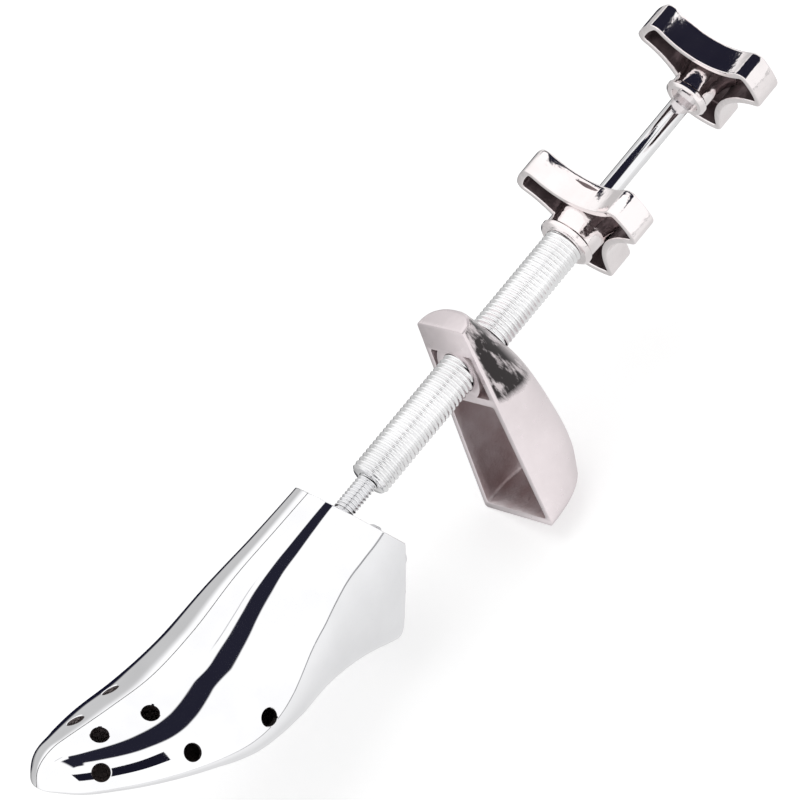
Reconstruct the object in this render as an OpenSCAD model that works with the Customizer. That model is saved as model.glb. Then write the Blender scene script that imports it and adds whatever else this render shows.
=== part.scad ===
// Two-way shoe stretcher in plated metal: a split toe last on a rear hinge, a wedge cone on an
// inner rod that opens it, and a threaded tube that pushes the last and a hollow heel block apart.
// The shaft runs along X towards the toe, Z is up and the origin is the flat back of the end knob.

/* [Toe last] */
// Length of the last along its sole
last_len = 153; // [140:1:170]
// Width of the closed last across the ball
ball_w = 64; // [58:1:72]
// Height of the last from its sole line to the instep ridge above the heel corner
instep_h = 72; // [66:1:78]
// Depth that the sole swells below its line under the ball
sole_swell = 13; // [9:1:16]
// Wall thickness of the cast halves
last_wall = 3; // [2.4:0.1:4]
// Gap between the two halves along the seam
seam_gap = 0.3; // [0.2:0.05:0.6]
// Angle between the sole line and the shaft
sole_angle = 30; // [24:1:34]
// Lean of the upper rear face from square to the shaft
rear_lean = 19; // [14:1:24]
// Lean of the lower rear face from square to the shaft
facet_lean = 35; // [31:1:39]
// Depth of the rear corner below the shaft
rear_drop = 14; // [12.5:0.5:16]
// Diameter of the plug holes
plug_hole_d = 6.6; // [5:0.2:8]

/* [Hinge] */
// Thickness of the hinge leaves
leaf_t = 1.8; // [1.4:0.1:2.2]
// Height of the hinge leaves along the rear face
leaf_h = 33; // [31:1:36]
// Width of each leaf from the seam
leaf_w = 18.6; // [17.5:0.1:19.2]
// Diameter of the hinge barrel
barrel_d = 6.4; // [5.8:0.1:7]
// Diameter of the hinge pin
hinge_pin_d = 3.2; // [2.6:0.1:3.6]
// Distance of the leaf screws from the seam
screw_y = 14; // [12.5:0.5:14.5]
// Distance between the two screws of a leaf
screw_pitch = 21.4; // [19:0.2:23]
// Diameter of the leaf screw heads
screw_head_d = 8.4; // [7:0.2:9]
// Height of the leaf screw heads
screw_head_h = 3.2; // [2.4:0.1:3.6]
// Diameter of the leaf screw shanks
screw_d = 4; // [3:0.1:4.4]

/* [Wedge drive] */
// Diameter of the inner rod
rod_d = 8; // [7:0.1:8.4]
// Diameter of the rod's turned tip, which carries the cone
rod_tip_d = 6; // [5:0.1:6.6]
// Largest diameter of the wedge cone
cone_d = 28; // [25:0.5:29]
// Smallest diameter of the wedge cone
cone_nose_d = 10.4; // [9.6:0.2:12]
// Length of the wedge cone
cone_len = 19.6; // [18.5:0.1:21]
// Place of the cone's back face ahead of the rear face
cone_x = 34.4; // [32:0.2:37]
// Thickness of the thrust washer
washer_t = 1.2; // [0.8:0.1:1.6]
// Diameter of the thrust washer
washer_d = 13; // [11:0.5:16]
// Length of the threaded yoke
yoke_len = 14; // [11:0.5:17]
// Diameter of the threaded yoke
yoke_d = 14; // [12.5:0.5:16]
// Thickness of the yoke's arm
yoke_arm_t = 5; // [4:0.2:6]
// Height of the ramp ribs
ramp_h = 12; // [8:0.5:14]
// Diameter of the spring's wire
spring_wire = 0.9; // [0.7:0.1:1.1]
// Mean diameter of the spring's coil
spring_d = 6; // [5:0.2:7]
// Turns in the spring's coil
spring_turns = 9; // [7:1:11]
// Distance of the spring posts from the seam
post_y = 12; // [11:0.5:14]
// Diameter of the spring posts
post_d = 3; // [2.4:0.1:3.4]

/* [Shaft] */
// Diameter of the threaded tube
tube_d = 15.6; // [14:0.1:16]
// Length of the threaded tube
tube_len = 140; // [125:1:155]
// Bevel at the tube's front end
tube_bevel = 1; // [0.5:0.1:1.6]
// Gap between the last and the tube's front end
tube_gap = 15; // [12:0.5:18]
// Bare rod between the two knobs
rod_reach = 53.3; // [45:0.5:65]

/* [Knobs] */
// Diameter of the circle round the knob's lobes
knob_d = 59; // [54:1:64]
// Depth of the knob's rim walls
knob_h = 12; // [10:0.5:14]
// Distance from the knob's axis to the hollow of its flanks
flank_r = 13.8; // [13.2:0.1:15]
// Radius of the hollow flanks
flank_arc_r = 27; // [24:0.5:30]
// Radius of the rounded lobe corners
lobe_corner_r = 4; // [3:0.2:5]
// Thickness of the rim walls
knob_wall = 2.8; // [2.2:0.1:3.4]
// Thickness of the knob's back
knob_back_t = 3; // [2.4:0.1:4]
// Bevel of the edge round the knob's back
knob_edge = 1.4; // [0.8:0.1:2]
// Length of the hub in front of the rim
hub_len = 10.2; // [8:0.2:12]
// Flare of the hub where it meets the knob's back
hub_flare = 3.5; // [2.5:0.1:4.5]
// Height of the ring round the hub's front end
hub_ring = 0.7; // [0.4:0.1:1]
// Diameter of the end knob's hub
width_hub_d = 16; // [15:0.5:18]
// Diameter of the tube knob's hub
length_hub_d = 21; // [20:0.5:23]
// Turn of the end knob's lobes from the near side
width_knob_turn = 130; // [0:1:359]
// Turn of the tube knob's lobes from the near side
length_knob_turn = 140; // [0:1:359]
// Diameter of the pin and the set screw that lock the knobs
lock_pin_d = 3; // [2.4:0.1:3.6]

/* [Heel block] */
// Distance from the last's rear face to the block's front plate, along the shaft
block_x = 68.3; // [62:0.5:76]
// Height of the block above the shaft
block_top = 19; // [17:0.5:22]
// Depth of the block below the shaft
block_drop = 62; // [56:1:68]
// Width of the block at its top
block_top_w = 27.6; // [26:0.2:31]
// Width of the block at its bottom
block_bottom_w = 41; // [37:0.5:46]
// Depth of the block along the shaft, from the front plate to the back
block_depth = 19; // [17:0.5:22]
// Lean of the block's front from square to the shaft
block_lean = 14.7; // [11:0.1:18]
// Wall thickness of the block
block_wall = 2.6; // [2:0.1:3.4]
// Outer diameter of the boss round the tube
boss_d = 22; // [20.5:0.5:23]
// Turn of the block round the shaft
block_roll = 14; // [0:1:25]

/* [Fits] */
// Radial clearance of a running fit
run_fit = 0.06; // [0.03:0.01:0.09]
// Radial clearance between the rod and the tube's bore
bore_fit = 0.1; // [0.05:0.01:0.1]
// Gap between faces that move past each other
face_gap = 0.3; // [0.2:0.05:0.5]
// Gap kept round the rod where the halves swing
swing_gap = 1.6; // [1.2:0.1:2.2]

/* [Hidden] */
$fn = 48;

// Places along the shaft, from the last's rear face
tube_front = -tube_gap;
tube_back = tube_front - tube_len;
length_knob_x = tube_back + knob_h;
width_hub_front = tube_back - rod_reach;
width_knob_x = width_hub_front - hub_len;
rod_back = width_knob_x - knob_h + knob_back_t;
shaft_to_origin = -(width_knob_x - knob_h);

// The rear corner and the two rear faces of the last, in the plane of the seam
corner = [-rear_drop * tan(rear_lean), -rear_drop];
facet_dir = [sin(facet_lean), -cos(facet_lean)];
facet_out = [-cos(facet_lean), -sin(facet_lean)];
heel_setback = 3.7;
corner_rise = 35.6;
sole_dir = [cos(sole_angle), sin(sole_angle)];
sole_up = [-sin(sole_angle), cos(sole_angle)];
heel = corner + heel_setback * sole_dir - corner_rise * sole_up;

// Shape of the last: share of its length against share of the width, height and swell
width_curve = [[0, 0.69], [0.13, 0.734], [0.26, 0.844], [0.39, 0.969], [0.52, 1],
               [0.65, 0.938], [0.78, 0.797], [0.90, 0.547], [0.98, 0.313]];
top_curve = [[0, 1], [0.13, 0.857], [0.26, 0.71], [0.39, 0.562], [0.52, 0.379],
             [0.65, 0.243], [0.78, 0.181], [0.90, 0.139], [0.98, 0.111]];
sole_curve = [[0, 0.5], [0.13, 0.385], [0.26, 0.43], [0.39, 0.78], [0.52, 1],
              [0.65, 0.84], [0.78, 0.68], [0.90, 0.55], [0.98, 0.43]];
ridge_curve = [[0, 2.49], [0.25, 1.8], [0.5, 1.53], [0.98, 1.62]];
edge_power = 3.2;
widest_level = 0.16;
nose_len = 11;
nose_flatten = 0.7;
nose_end = 80;
nose_trim = 1;
loft_start = -16;
loft_steps = 30;
nose_steps = 7;
ring_steps = 14;

// Hinge axis and knuckles, measured down the lower rear face from the corner
barrel_gap = 0.2;
hinge_out = barrel_d / 2 + barrel_gap;
hinge_at = corner + hinge_out * facet_out;
strip_base = barrel_gap + face_gap;
leaf_top = 2.6;
knuckle_h = (leaf_h - 5 * face_gap) / 5;
screw_top = leaf_top + (leaf_h - screw_pitch) / 2;

// Bosses inside the halves, with the overlap of fused shapes and the depth that cuts go beyond them
screw_boss_h = 4;
boss_wall = 2.2;
overlap = 0.5;
over = 1;

// Wedge drive
cone_slope = (cone_d - cone_nose_d) / 2 / cone_len;
cone_front = cone_x + cone_len;
ramp_back = cone_front - 1.5;
ramp_len = 3.6;
end_gap = 0.1;
clip_t = 1;
clip_d = cone_nose_d - 1.6;
clip_slot = 1.8;
clip_groove = 0.5;
tip_end = 1.4;
arm_reach = 2;
yoke_back = last_wall / cos(rear_lean) + yoke_d / 2 * tan(rear_lean) + face_gap;
yoke_front = yoke_back + yoke_len;
post_along = 82;
post_level = 5;
post_boss_h = 5;
post_gap = 0.2;
post_seat = sole(post_along) + last_wall + 4 * post_gap;

// Heel block
web_t = 3;
web_bite = 1.5;
web_top = web_bite - boss_d / 2;
front_cut = 8;
block_power = 2.4;
block_rings = 15;
block_ring_steps = 20;
back_curve = [[0, 0.49], [0.235, 1.01], [0.42, 1.33], [0.66, 1.55], [0.87, 1.62], [1, 1.45]];

// Smooth curve through a short list of [place, value] pairs
function span_of(t, x, i = 0) = (i >= len(t) - 2 || x < t[i + 1][0]) ? i : span_of(t, x, i + 1);
function slope_at(t, i) =
    let (a = max(i - 1, 0), b = min(i + 1, len(t) - 1)) (t[b][1] - t[a][1]) / (t[b][0] - t[a][0]);
function curve(t, x) =
    let (i = span_of(t, x),
         h = t[i + 1][0] - t[i][0],
         u = (x - t[i][0]) / h,
         m0 = slope_at(t, i) * h,
         m1 = slope_at(t, i + 1) * h,
         rise = t[i + 1][1] - t[i][1])
    u < 0 ? t[0][1] + slope_at(t, 0) * (x - t[0][0])
          : t[i][1] + u * m0 + u * u * (3 * rise - 2 * m0 - m1) + u * u * u * (m0 + m1 - 2 * rise);

// Half-width, ridge and sole of the last at a distance along its sole
function share(x) = min(x, last_len - 0.02 * last_len) / last_len;
function half_width(x) = ball_w / 2 * curve(width_curve, share(x));
function ridge(x) = instep_h * curve(top_curve, share(x));
function sole(x) = -sole_swell * curve(sole_curve, share(x));
function power(x) = curve(ridge_curve, max(share(x), 0));
function widest(x, inset = 0) =
    let (low = sole(x) + inset) low + (ridge(x) - inset - low) * widest_level;

// A point of the last's skin at a distance along the sole and an angle from the ridge, 0 to 180
function pow_cos(a, p) = pow(max(cos(a), 0), 2 / p);
function pow_sin(a, p) = pow(max(sin(a), 0), 2 / p);
function skin(x, a, inset, seam, squeeze) =
    let (w = (half_width(x) - inset) * squeeze,
         mid = widest(x, inset),
         up = (ridge(x) - inset - mid) * pow(squeeze, nose_flatten),
         down = (mid - sole(x) - inset) * pow(squeeze, nose_flatten))
    a == 0 ? [x, seam, mid + up]
           : a == 180 ? [x, seam, mid - down]
           : a <= 90 ? [x, max(w * pow_sin(a, power(x)), seam), mid + up * pow_cos(a, power(x))]
           : [x, max(w * pow_cos(a - 90, edge_power), seam), mid - down * pow_sin(a - 90, edge_power)];
function skin_normal(x, a) =
    let (d = 0.5,
         u = skin(x + d, a, 0, 0, 1) - skin(x - d, a, 0, 0, 1),
         v = skin(x, a + d, 0, 0, 1) - skin(x, a - d, 0, 0, 1),
         n = cross(u, v))
    n / norm(n);

// Rings along the last: even steps to the nose, then a rounded nose
function ring_angle(k) = 180 * k / ring_steps;
function ring(x, inset, seam, squeeze) =
    [for (k = [0:ring_steps]) skin(x, ring_angle(k), inset, seam, squeeze)];
function last_rings(inset, seam) =
    let (straight = last_len - nose_len - inset)
    concat(
        [for (i = [0:loft_steps - 1])
            ring(loft_start + (straight - loft_start) * i / loft_steps, inset, seam, 1)],
        [for (i = [0:nose_steps])
            let (a = nose_end * i / nose_steps) ring(straight + nose_len * sin(a), inset, seam, cos(a))]);

// Skin a list of rings that all have the same number of points
module loft(rings) {
    n = len(rings[0]);
    m = len(rings);
    points = [for (r = rings) for (p = r) p];
    sides = [for (i = [0:m - 2]) for (k = [0:n - 1])
        let (a = i * n + k, b = i * n + (k + 1) % n, c = a + n, d = b + n)
        each [[a, b, c], [b, d, c]]];
    first = [[for (k = [n - 1:-1:0]) k]];
    last = [[for (k = [0:n - 1]) (m - 1) * n + k]];
    polyhedron(points = points, faces = concat(sides, first, last), convexity = 6);
}

module in_row() translate([shaft_to_origin, 0, 0]) children();
module in_last() translate([heel[0], 0, heel[1]]) rotate([0, -sole_angle, 0]) children();
module in_block() rotate([block_roll, 0, 0]) children();
module along_shaft(x) translate([x, 0, 0]) rotate([0, 90, 0]) children();
// Frame on the lower rear face: X runs down the face, Z points out of it and Y is across the seam
module on_facet(down) {
    at = corner + down * facet_dir;
    translate([at[0], 0, at[1]]) rotate([0, 90 - facet_lean, 0]) mirror([0, 0, 1]) children();
}
module at_hinge(down, out = 0) {
    at = hinge_at + down * facet_dir + out * facet_out;
    translate([at[0], 0, at[1]]) rotate([0, 180 - facet_lean, 0]) children();
}
module side_view(width) rotate([90, 0, 0]) linear_extrude(width, center = true) children();

// Side view of the last behind which nothing is left, drawn in by the wall for the hollow
module last_side(inset) {
    reach = 90;
    bend = rear_corner(inset);
    high = bend + reach * [sin(rear_lean), cos(rear_lean)];
    low = bend + reach * facet_dir;
    polygon([high, bend, low, low + [last_len * 2, 0], high + [last_len * 2, 0]]);
}
// Where the two rear faces cross once both are moved in by the wall
function rear_corner(inset) =
    let (a = [cos(rear_lean), -sin(rear_lean)],
         b = -facet_out,
         det = a[0] * b[1] - a[1] * b[0],
         ra = inset + a * corner,
         rb = inset + b * corner)
    [(ra * b[1] - rb * a[1]) / det, (a[0] * rb - b[0] * ra) / det];

// Plug holes: share of the last's length and angle from the ridge; the last three sit low on the side
plug_holes = [[0.846, 23], [0.719, 28.5], [0.893, 61], [0.686, 68], [0.477, 74]];
plug_over = 1.6;
module plug_hole(x, a) {
    n = skin_normal(x, a);
    tilt = acos(n[2]);
    turn = atan2(n[1], n[0]);
    translate(skin(x, a, 0, 0, 1)) rotate([0, tilt, turn]) translate([0, 0, -last_wall - plug_over])
        cylinder(h = last_wall + 2 * plug_over, d = plug_hole_d);
}

function into_last(x, z) = [([x, z] - heel) * sole_dir, ([x, z] - heel) * sole_up];
// Half-width of the last at a point of its side view
function side_at(x, z) =
    let (p = into_last(x, z),
         mid = widest(p[0]),
         t = max(p[1] - mid, 0) / (ridge(p[0]) - mid))
    half_width(p[0]) * pow(1 - pow(t, power(p[0])), 1 / power(p[0]));

// Rib inside each half, with a flat face that the cone slides along
module ramp() {
    near = cone_nose_d / 2 + (cone_front - ramp_back) * cone_slope + face_gap;
    far = side_at(ramp_back + ramp_len, ramp_h / 2) - last_wall / 2;
    translate([0, 0, -ramp_h / 2]) linear_extrude(ramp_h) polygon([
        [ramp_back, near],
        [ramp_back + ramp_len, near - ramp_len * cone_slope],
        [ramp_back + ramp_len, far],
        [ramp_back, far]]);
}

module screw_places() for (i = [0, 1]) translate([screw_top + i * screw_pitch, screw_y, 0]) children();

module last_half() {
    difference() {
        union() {
            difference() {
                intersection() {
                    in_last() loft(last_rings(0, seam_gap / 2));
                    side_view(ball_w * 1.2) last_side(0);
                }
                intersection() {
                    in_last() loft(last_rings(last_wall, -1));
                    in_last() translate([loft_start, -ball_w, -instep_h])
                        cube([last_len - last_wall - nose_trim - loft_start, ball_w * 2, instep_h * 3]);
                    side_view(ball_w * 1.2) last_side(last_wall);
                }
            }
            ramp();
            on_facet(0) screw_places() translate([0, 0, -last_wall - screw_boss_h])
                cylinder(h = screw_boss_h + overlap, d = screw_d + 2 * boss_wall);
            in_last() translate([post_along, post_y, sole(post_along) + last_wall / 2])
                cylinder(h = last_wall / 2 + post_boss_h, d = post_d + 2 * boss_wall);
        }
        for (h = plug_holes) in_last() plug_hole(h[0] * last_len, h[1]);
        along_shaft(-last_wall * 2) cylinder(h = last_wall * 5, d = rod_d + 2 * swing_gap);
        side_view(yoke_arm_t + 2 * face_gap) offset(delta = face_gap * 2) yoke_arm();
        on_facet(0) screw_places() translate([0, 0, -last_wall - screw_boss_h - over])
            cylinder(h = last_wall + screw_boss_h + 2 * over, d = screw_d + 2 * run_fit);
        in_last() translate([post_along, post_y, post_seat - post_gap])
            cylinder(h = post_boss_h + over, d = post_d + 2 * run_fit);
    }
}

module last_left() in_row() color("gainsboro") last_half();
module last_right() in_row() color("gainsboro") mirror([0, 1, 0]) last_half();

// A hinge leaf with its own knuckles of the five along the barrel
module hinge_leaf(mine) {
    difference() {
        union() {
            on_facet(0) translate([leaf_top, barrel_d / 2 + face_gap, 0])
                cube([leaf_h, leaf_w - barrel_d / 2 - face_gap, leaf_t]);
            for (i = mine) {
                start = leaf_top + i * (knuckle_h + face_gap) + face_gap / 2;
                at_hinge(start) cylinder(h = knuckle_h, d = barrel_d);
                on_facet(0) translate([start, 0, strip_base])
                    cube([knuckle_h, barrel_d, leaf_t - strip_base]);
            }
        }
        at_hinge(-over) cylinder(h = leaf_top + leaf_h + 2 * over, d = hinge_pin_d + 2 * run_fit);
        on_facet(0) screw_places() translate([0, 0, -over])
            cylinder(h = leaf_t + 2 * over, d = screw_d + 2 * run_fit);
    }
}
module hinge_leaf_left() in_row() color("silver") hinge_leaf([1, 3]);
module hinge_leaf_right() in_row() color("silver") mirror([0, 1, 0]) hinge_leaf([2, 4]);

// Domed screws that hold one leaf
module leaf_screws() {
    dome_r = (screw_head_d * screw_head_d / 4 + screw_head_h * screw_head_h) / (2 * screw_head_h);
    on_facet(0) screw_places() {
        translate([0, 0, -last_wall - screw_boss_h + over])
            cylinder(h = last_wall + screw_boss_h - over + leaf_t, d = screw_d);
        translate([0, 0, leaf_t]) intersection() {
            cylinder(h = screw_head_h, d = screw_head_d);
            translate([0, 0, screw_head_h - dome_r]) sphere(dome_r);
        }
    }
}
module leaf_screws_left() in_row() color("whitesmoke") leaf_screws();
module leaf_screws_right() in_row() color("whitesmoke") mirror([0, 1, 0]) leaf_screws();

module hinge_pin() in_row() color("silver") at_hinge(leaf_top - over)
    cylinder(h = leaf_h + 2 * over, d = hinge_pin_d);

// Arm of the yoke in the plane of the seam, from the threaded block to the top knuckle
module yoke_arm() {
    top = hinge_at + (leaf_top + face_gap / 2) * facet_dir;
    foot = top + knuckle_h * facet_dir;
    polygon([
        top, foot,
        foot - facet_out * (hinge_out + last_wall + arm_reach),
        [yoke_front, -yoke_d / 2 + over],
        [yoke_back, -yoke_d / 2 + over],
        top - facet_out * (hinge_out + last_wall)]);
}
module rod_yoke() in_row() color("darkgray") difference() {
    union() {
        along_shaft(yoke_back) cylinder(h = yoke_len, d = yoke_d);
        side_view(yoke_arm_t) yoke_arm();
        at_hinge(leaf_top + face_gap / 2) cylinder(h = knuckle_h, d = barrel_d);
    }
    along_shaft(0) cylinder(h = yoke_front + over, d = rod_d + 2 * run_fit);
    at_hinge(-over) cylinder(h = leaf_h, d = hinge_pin_d + 2 * run_fit);
}

module wedge_cone() in_row() color("goldenrod") difference() {
    along_shaft(cone_x) cylinder(h = cone_len, d1 = cone_d, d2 = cone_nose_d);
    along_shaft(cone_x - over) cylinder(h = cone_len + 2 * over, d = rod_tip_d + 2 * run_fit);
}
module cone_washer() in_row() color("silver") along_shaft(cone_x - washer_t) difference() {
    cylinder(h = washer_t, d = washer_d);
    translate([0, 0, -over]) cylinder(h = washer_t + 2 * over, d = rod_tip_d + 2 * run_fit);
}
module cone_clip() in_row() color("dimgray") along_shaft(cone_front + end_gap) difference() {
    cylinder(h = clip_t, d = clip_d);
    translate([0, 0, -over]) cylinder(h = clip_t + 2 * over, d = rod_tip_d - 2 * clip_groove);
    translate([0, -clip_slot / 2, -over]) cube([clip_d, clip_slot, clip_t + 2 * over]);
}

// Spring: a hook round each post and the coil between, as one tube along a path
hook_r = (post_d + spring_wire) / 2 + 2 * post_gap;
hook_turn = 300;
coil_lead = 1.2;
coil_half = post_y - hook_r - spring_wire - coil_lead;
coil_rings = 10;
function coil_point(t) =
    let (a = 360 * spring_turns * t)
    [spring_d / 2 * sin(a), coil_half * (1 - 2 * t), spring_d / 2 * (cos(a) - 1)];
function hook_point(i, side) =
    let (a = hook_turn * i / coil_rings) [-side * hook_r * sin(a), side * (post_y - hook_r * cos(a)), 0];
spring_path = concat(
    [for (i = [coil_rings:-1:0]) hook_point(i, 1)],
    [for (i = [0:coil_rings * spring_turns]) coil_point(i / (coil_rings * spring_turns))],
    [for (i = [0:coil_rings]) hook_point(i, -1)]);
module tube_along(path, r, sides) {
    n = len(path);
    rings = [for (i = [0:n - 1])
        let (t = path[min(i + 1, n - 1)] - path[max(i - 1, 0)],
             d = t / norm(t),
             s = cross(d, [0.05, 0.1, 1]),
             e = s / norm(s),
             f = cross(d, e))
        [for (k = [0:sides - 1]) path[i] + r * (cos(360 * k / sides) * e - sin(360 * k / sides) * f)]];
    loft(rings);
}
module return_spring() in_row() color("lightgray") in_last()
    translate([post_along, 0, post_level]) tube_along(spring_path, spring_wire / 2, 6);

module spring_post() in_last() translate([post_along, post_y, post_seat])
    cylinder(h = post_level - post_seat + post_d, d = post_d);
module spring_post_left() in_row() color("silver") spring_post();
module spring_post_right() in_row() color("silver") mirror([0, 1, 0]) spring_post();

module width_rod() in_row() color("silver") difference() {
    union() {
        along_shaft(rod_back) cylinder(h = cone_x - washer_t - end_gap - rod_back, d = rod_d);
        along_shaft(0) cylinder(h = cone_front + clip_t + tip_end, d = rod_tip_d);
    }
    along_shaft(cone_front + end_gap / 2) difference() {
        cylinder(h = clip_t + end_gap, d = rod_tip_d + over);
        translate([0, 0, -over])
            cylinder(h = clip_t + 3 * over, d = rod_tip_d - 2 * clip_groove - end_gap);
    }
    lock_hole(width_hub_front - hub_len / 2, -rod_d);
}
// A radial hole for the pin or screw that locks a knob, from the axis upward
module lock_hole(x, from) translate([x, 0, from]) cylinder(h = knob_d, d = lock_pin_d);

// Hub: height of its flare, length of its front ring, recess round the rod and seats of the locks
flare_h = hub_len * 0.55;
ring_len = 1.6;
counterbore_h = 1.6;
counterbore_w = 1.8;
lock_sink = 0.3;
lock_floor = rod_d / 2 + 0.8;

// Outline of the knob, drawn in by an inset: a blunt arc on each lobe, a round at each of its
// corners and a hollow flank between lobes, all tangent to one another
flank_at = flank_r + flank_arc_r;
corner_at = knob_d / 2 - lobe_corner_r;
corner_to_flank = flank_arc_r + lobe_corner_r;
corner_turn = acos((corner_at ^ 2 + flank_at ^ 2 - corner_to_flank ^ 2) / (2 * corner_at * flank_at));
flank_half = asin(corner_at * sin(corner_turn) / corner_to_flank);
tip_half = 60 - corner_turn;
corner_steps = 3;
tip_steps = 2;
flank_steps = 8;
function on_circle(c, r, a) = [c[0] + r * cos(a), c[1] + r * sin(a)];
function arc(c, r, a0, a1, n, skip = 0) =
    [for (i = [skip:n - skip]) on_circle(c, r, a0 + (a1 - a0) * i / n)];
function turned(p, a) = [p[0] * cos(a) - p[1] * sin(a), p[0] * sin(a) + p[1] * cos(a)];
function corner_arc(at, inset, from, to) =
    arc(on_circle([0, 0], corner_at, at), lobe_corner_r - inset, from, to, corner_steps);
function lobe_points(inset) = concat(
    corner_arc(-tip_half, inset, -60 - flank_half, -tip_half),
    arc([0, 0], knob_d / 2 - inset, -tip_half, tip_half, tip_steps, 1),
    corner_arc(tip_half, inset, tip_half, 60 + flank_half),
    arc(on_circle([0, 0], flank_at, 60), flank_arc_r + inset,
        240 + flank_half, 240 - flank_half, flank_steps, 1));
function knob_points(inset) = [for (i = [0:2]) for (p = lobe_points(inset)) turned(p, 120 * i)];
function knob_ring(inset, z) =
    let (points = knob_points(inset)) [for (i = [len(points) - 1:-1:0]) [points[i][0], points[i][1], z]];

// Three-lobed knob, open towards the toe, with a flared hub; its rim lies at z = 0, and the shaft's
// frame has the near side at 90 degrees
near_side = 90;
module knob(hub_d, turn) rotate(near_side + turn) {
    difference() {
        intersection() {
            loft([knob_ring(knob_edge, -knob_h), knob_ring(0, knob_edge - knob_h), knob_ring(0, over)]);
            translate([0, 0, -knob_h - over]) cylinder(h = knob_h + over, d = knob_d * 1.2);
        }
        difference() {
            translate([0, 0, -knob_h + knob_back_t]) linear_extrude(knob_h) polygon(knob_points(knob_wall));
            hub_shape(hub_d);
        }
    }
    hub_shape(hub_d);
}
module hub_shape(hub_d) {
    foot = hub_d / 2 + hub_flare;
    ring = hub_d / 2 + hub_ring;
    rotate_extrude($fn = 64) polygon(concat(
        [[0, knob_back_t - knob_h - overlap], [foot, knob_back_t - knob_h - overlap]],
        [for (a = [0:45:90]) [foot - hub_flare * sin(a), flare_h * (1 - cos(a)) - over]],
        [[hub_d / 2, hub_len - ring_len - 2 * hub_ring], [ring, hub_len - ring_len - hub_ring],
         [ring, hub_len - hub_ring], [hub_d / 2, hub_len], [0, hub_len]]));
}

module width_knob() in_row() color("rosybrown") difference() {
    along_shaft(width_knob_x) knob(width_hub_d, width_knob_turn);
    along_shaft(rod_back) cylinder(h = knob_d, d = rod_d);
    along_shaft(width_hub_front - counterbore_h)
        cylinder(h = counterbore_h + over, d = rod_d + 2 * counterbore_w);
    lock_hole(width_hub_front - hub_len / 2, -knob_d / 2);
}
module width_knob_pin() in_row() color("silver")
    translate([width_hub_front - hub_len / 2, 0, -width_hub_d / 2 + lock_sink])
        cylinder(h = width_hub_d - 2 * lock_sink, d = lock_pin_d);

module length_tube() in_row() color("silver") difference() {
    union() {
        along_shaft(tube_back) cylinder(h = tube_len - tube_bevel, d = tube_d);
        along_shaft(tube_front - tube_bevel)
            cylinder(h = tube_bevel, d1 = tube_d, d2 = tube_d - 2 * tube_bevel);
    }
    along_shaft(tube_back - over) cylinder(h = tube_len + 2 * over, d = rod_d + 2 * bore_fit);
    lock_hole(length_knob_x + hub_len / 2, lock_floor);
}
module length_knob() in_row() color("rosybrown") difference() {
    along_shaft(length_knob_x) knob(length_hub_d, length_knob_turn);
    along_shaft(tube_back - over) cylinder(h = knob_d, d = tube_d);
    lock_hole(length_knob_x + hub_len / 2, 0);
}
module length_knob_screw() in_row() color("dimgray")
    translate([length_knob_x + hub_len / 2, 0, lock_floor + lock_sink])
        cylinder(h = length_hub_d / 2 - lock_floor - 2 * lock_sink, d = lock_pin_d);

// Heel block: half-width, front and back at a height v in the block's own frame
function block_half(v) =
    (block_top_w + (block_bottom_w - block_top_w) * (block_top - v) / (block_top + block_drop)) / 2;
function block_front(v) = -block_x - v * tan(block_lean);
function block_back(v) =
    block_front(v) - block_depth * curve(back_curve, (block_top - v) / (block_top + block_drop));
function block_ring(v, inset, ahead) =
    let (w = block_half(v) - inset,
         f = block_front(v) + ahead,
         d = block_front(v) - block_back(v) - inset)
    concat([[f, -w, v]],
        [for (k = [0:block_ring_steps])
            let (a = 180 * k / block_ring_steps - 90)
            let (out = w * sign(a) * pow_sin(abs(a), block_power))
            [block_front(v) - d * pow_cos(a, block_power), out, v]],
        [[f, w, v]]);
module block_loft(inset, ahead, low, high)
    loft([for (i = [0:block_rings])
        block_ring(low + (high - low) * i / block_rings, inset, ahead)]);

module heel_block() in_row() color("thistle") in_block() difference() {
    block_loft(0, 0.01, -block_drop, block_top);
    block_loft(block_wall, front_cut, -block_drop + block_wall, web_top - web_t);
    difference() {
        block_loft(block_wall, front_cut, web_top, boss_d / 2 - web_t);
        along_shaft(-block_x - block_depth * 2) cylinder(h = block_depth * 3, d = boss_d);
    }
    along_shaft(-block_x - block_depth * 2) cylinder(h = block_depth * 3, d = tube_d + 2 * run_fit);
}

last_left();
last_right();
hinge_leaf_left();
hinge_leaf_right();
leaf_screws_left();
leaf_screws_right();
hinge_pin();
rod_yoke();
wedge_cone();
cone_washer();
cone_clip();
return_spring();
spring_post_left();
spring_post_right();
width_rod();
width_knob();
width_knob_pin();
length_tube();
length_knob();
length_knob_screw();
heel_block();
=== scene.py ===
"""Two-way shoe stretcher in plated metal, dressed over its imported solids.

Everything is in metres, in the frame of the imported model: +X runs along the shaft to the toe, +Z is up
and the origin is the flat back of the end knob.
"""
import math

import bmesh
import bpy
import numpy as np
from bpy.props import FloatProperty, FloatVectorProperty, IntProperty, PointerProperty
from mathutils import Matrix, Vector
from mathutils.bvhtree import BVHTree


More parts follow.
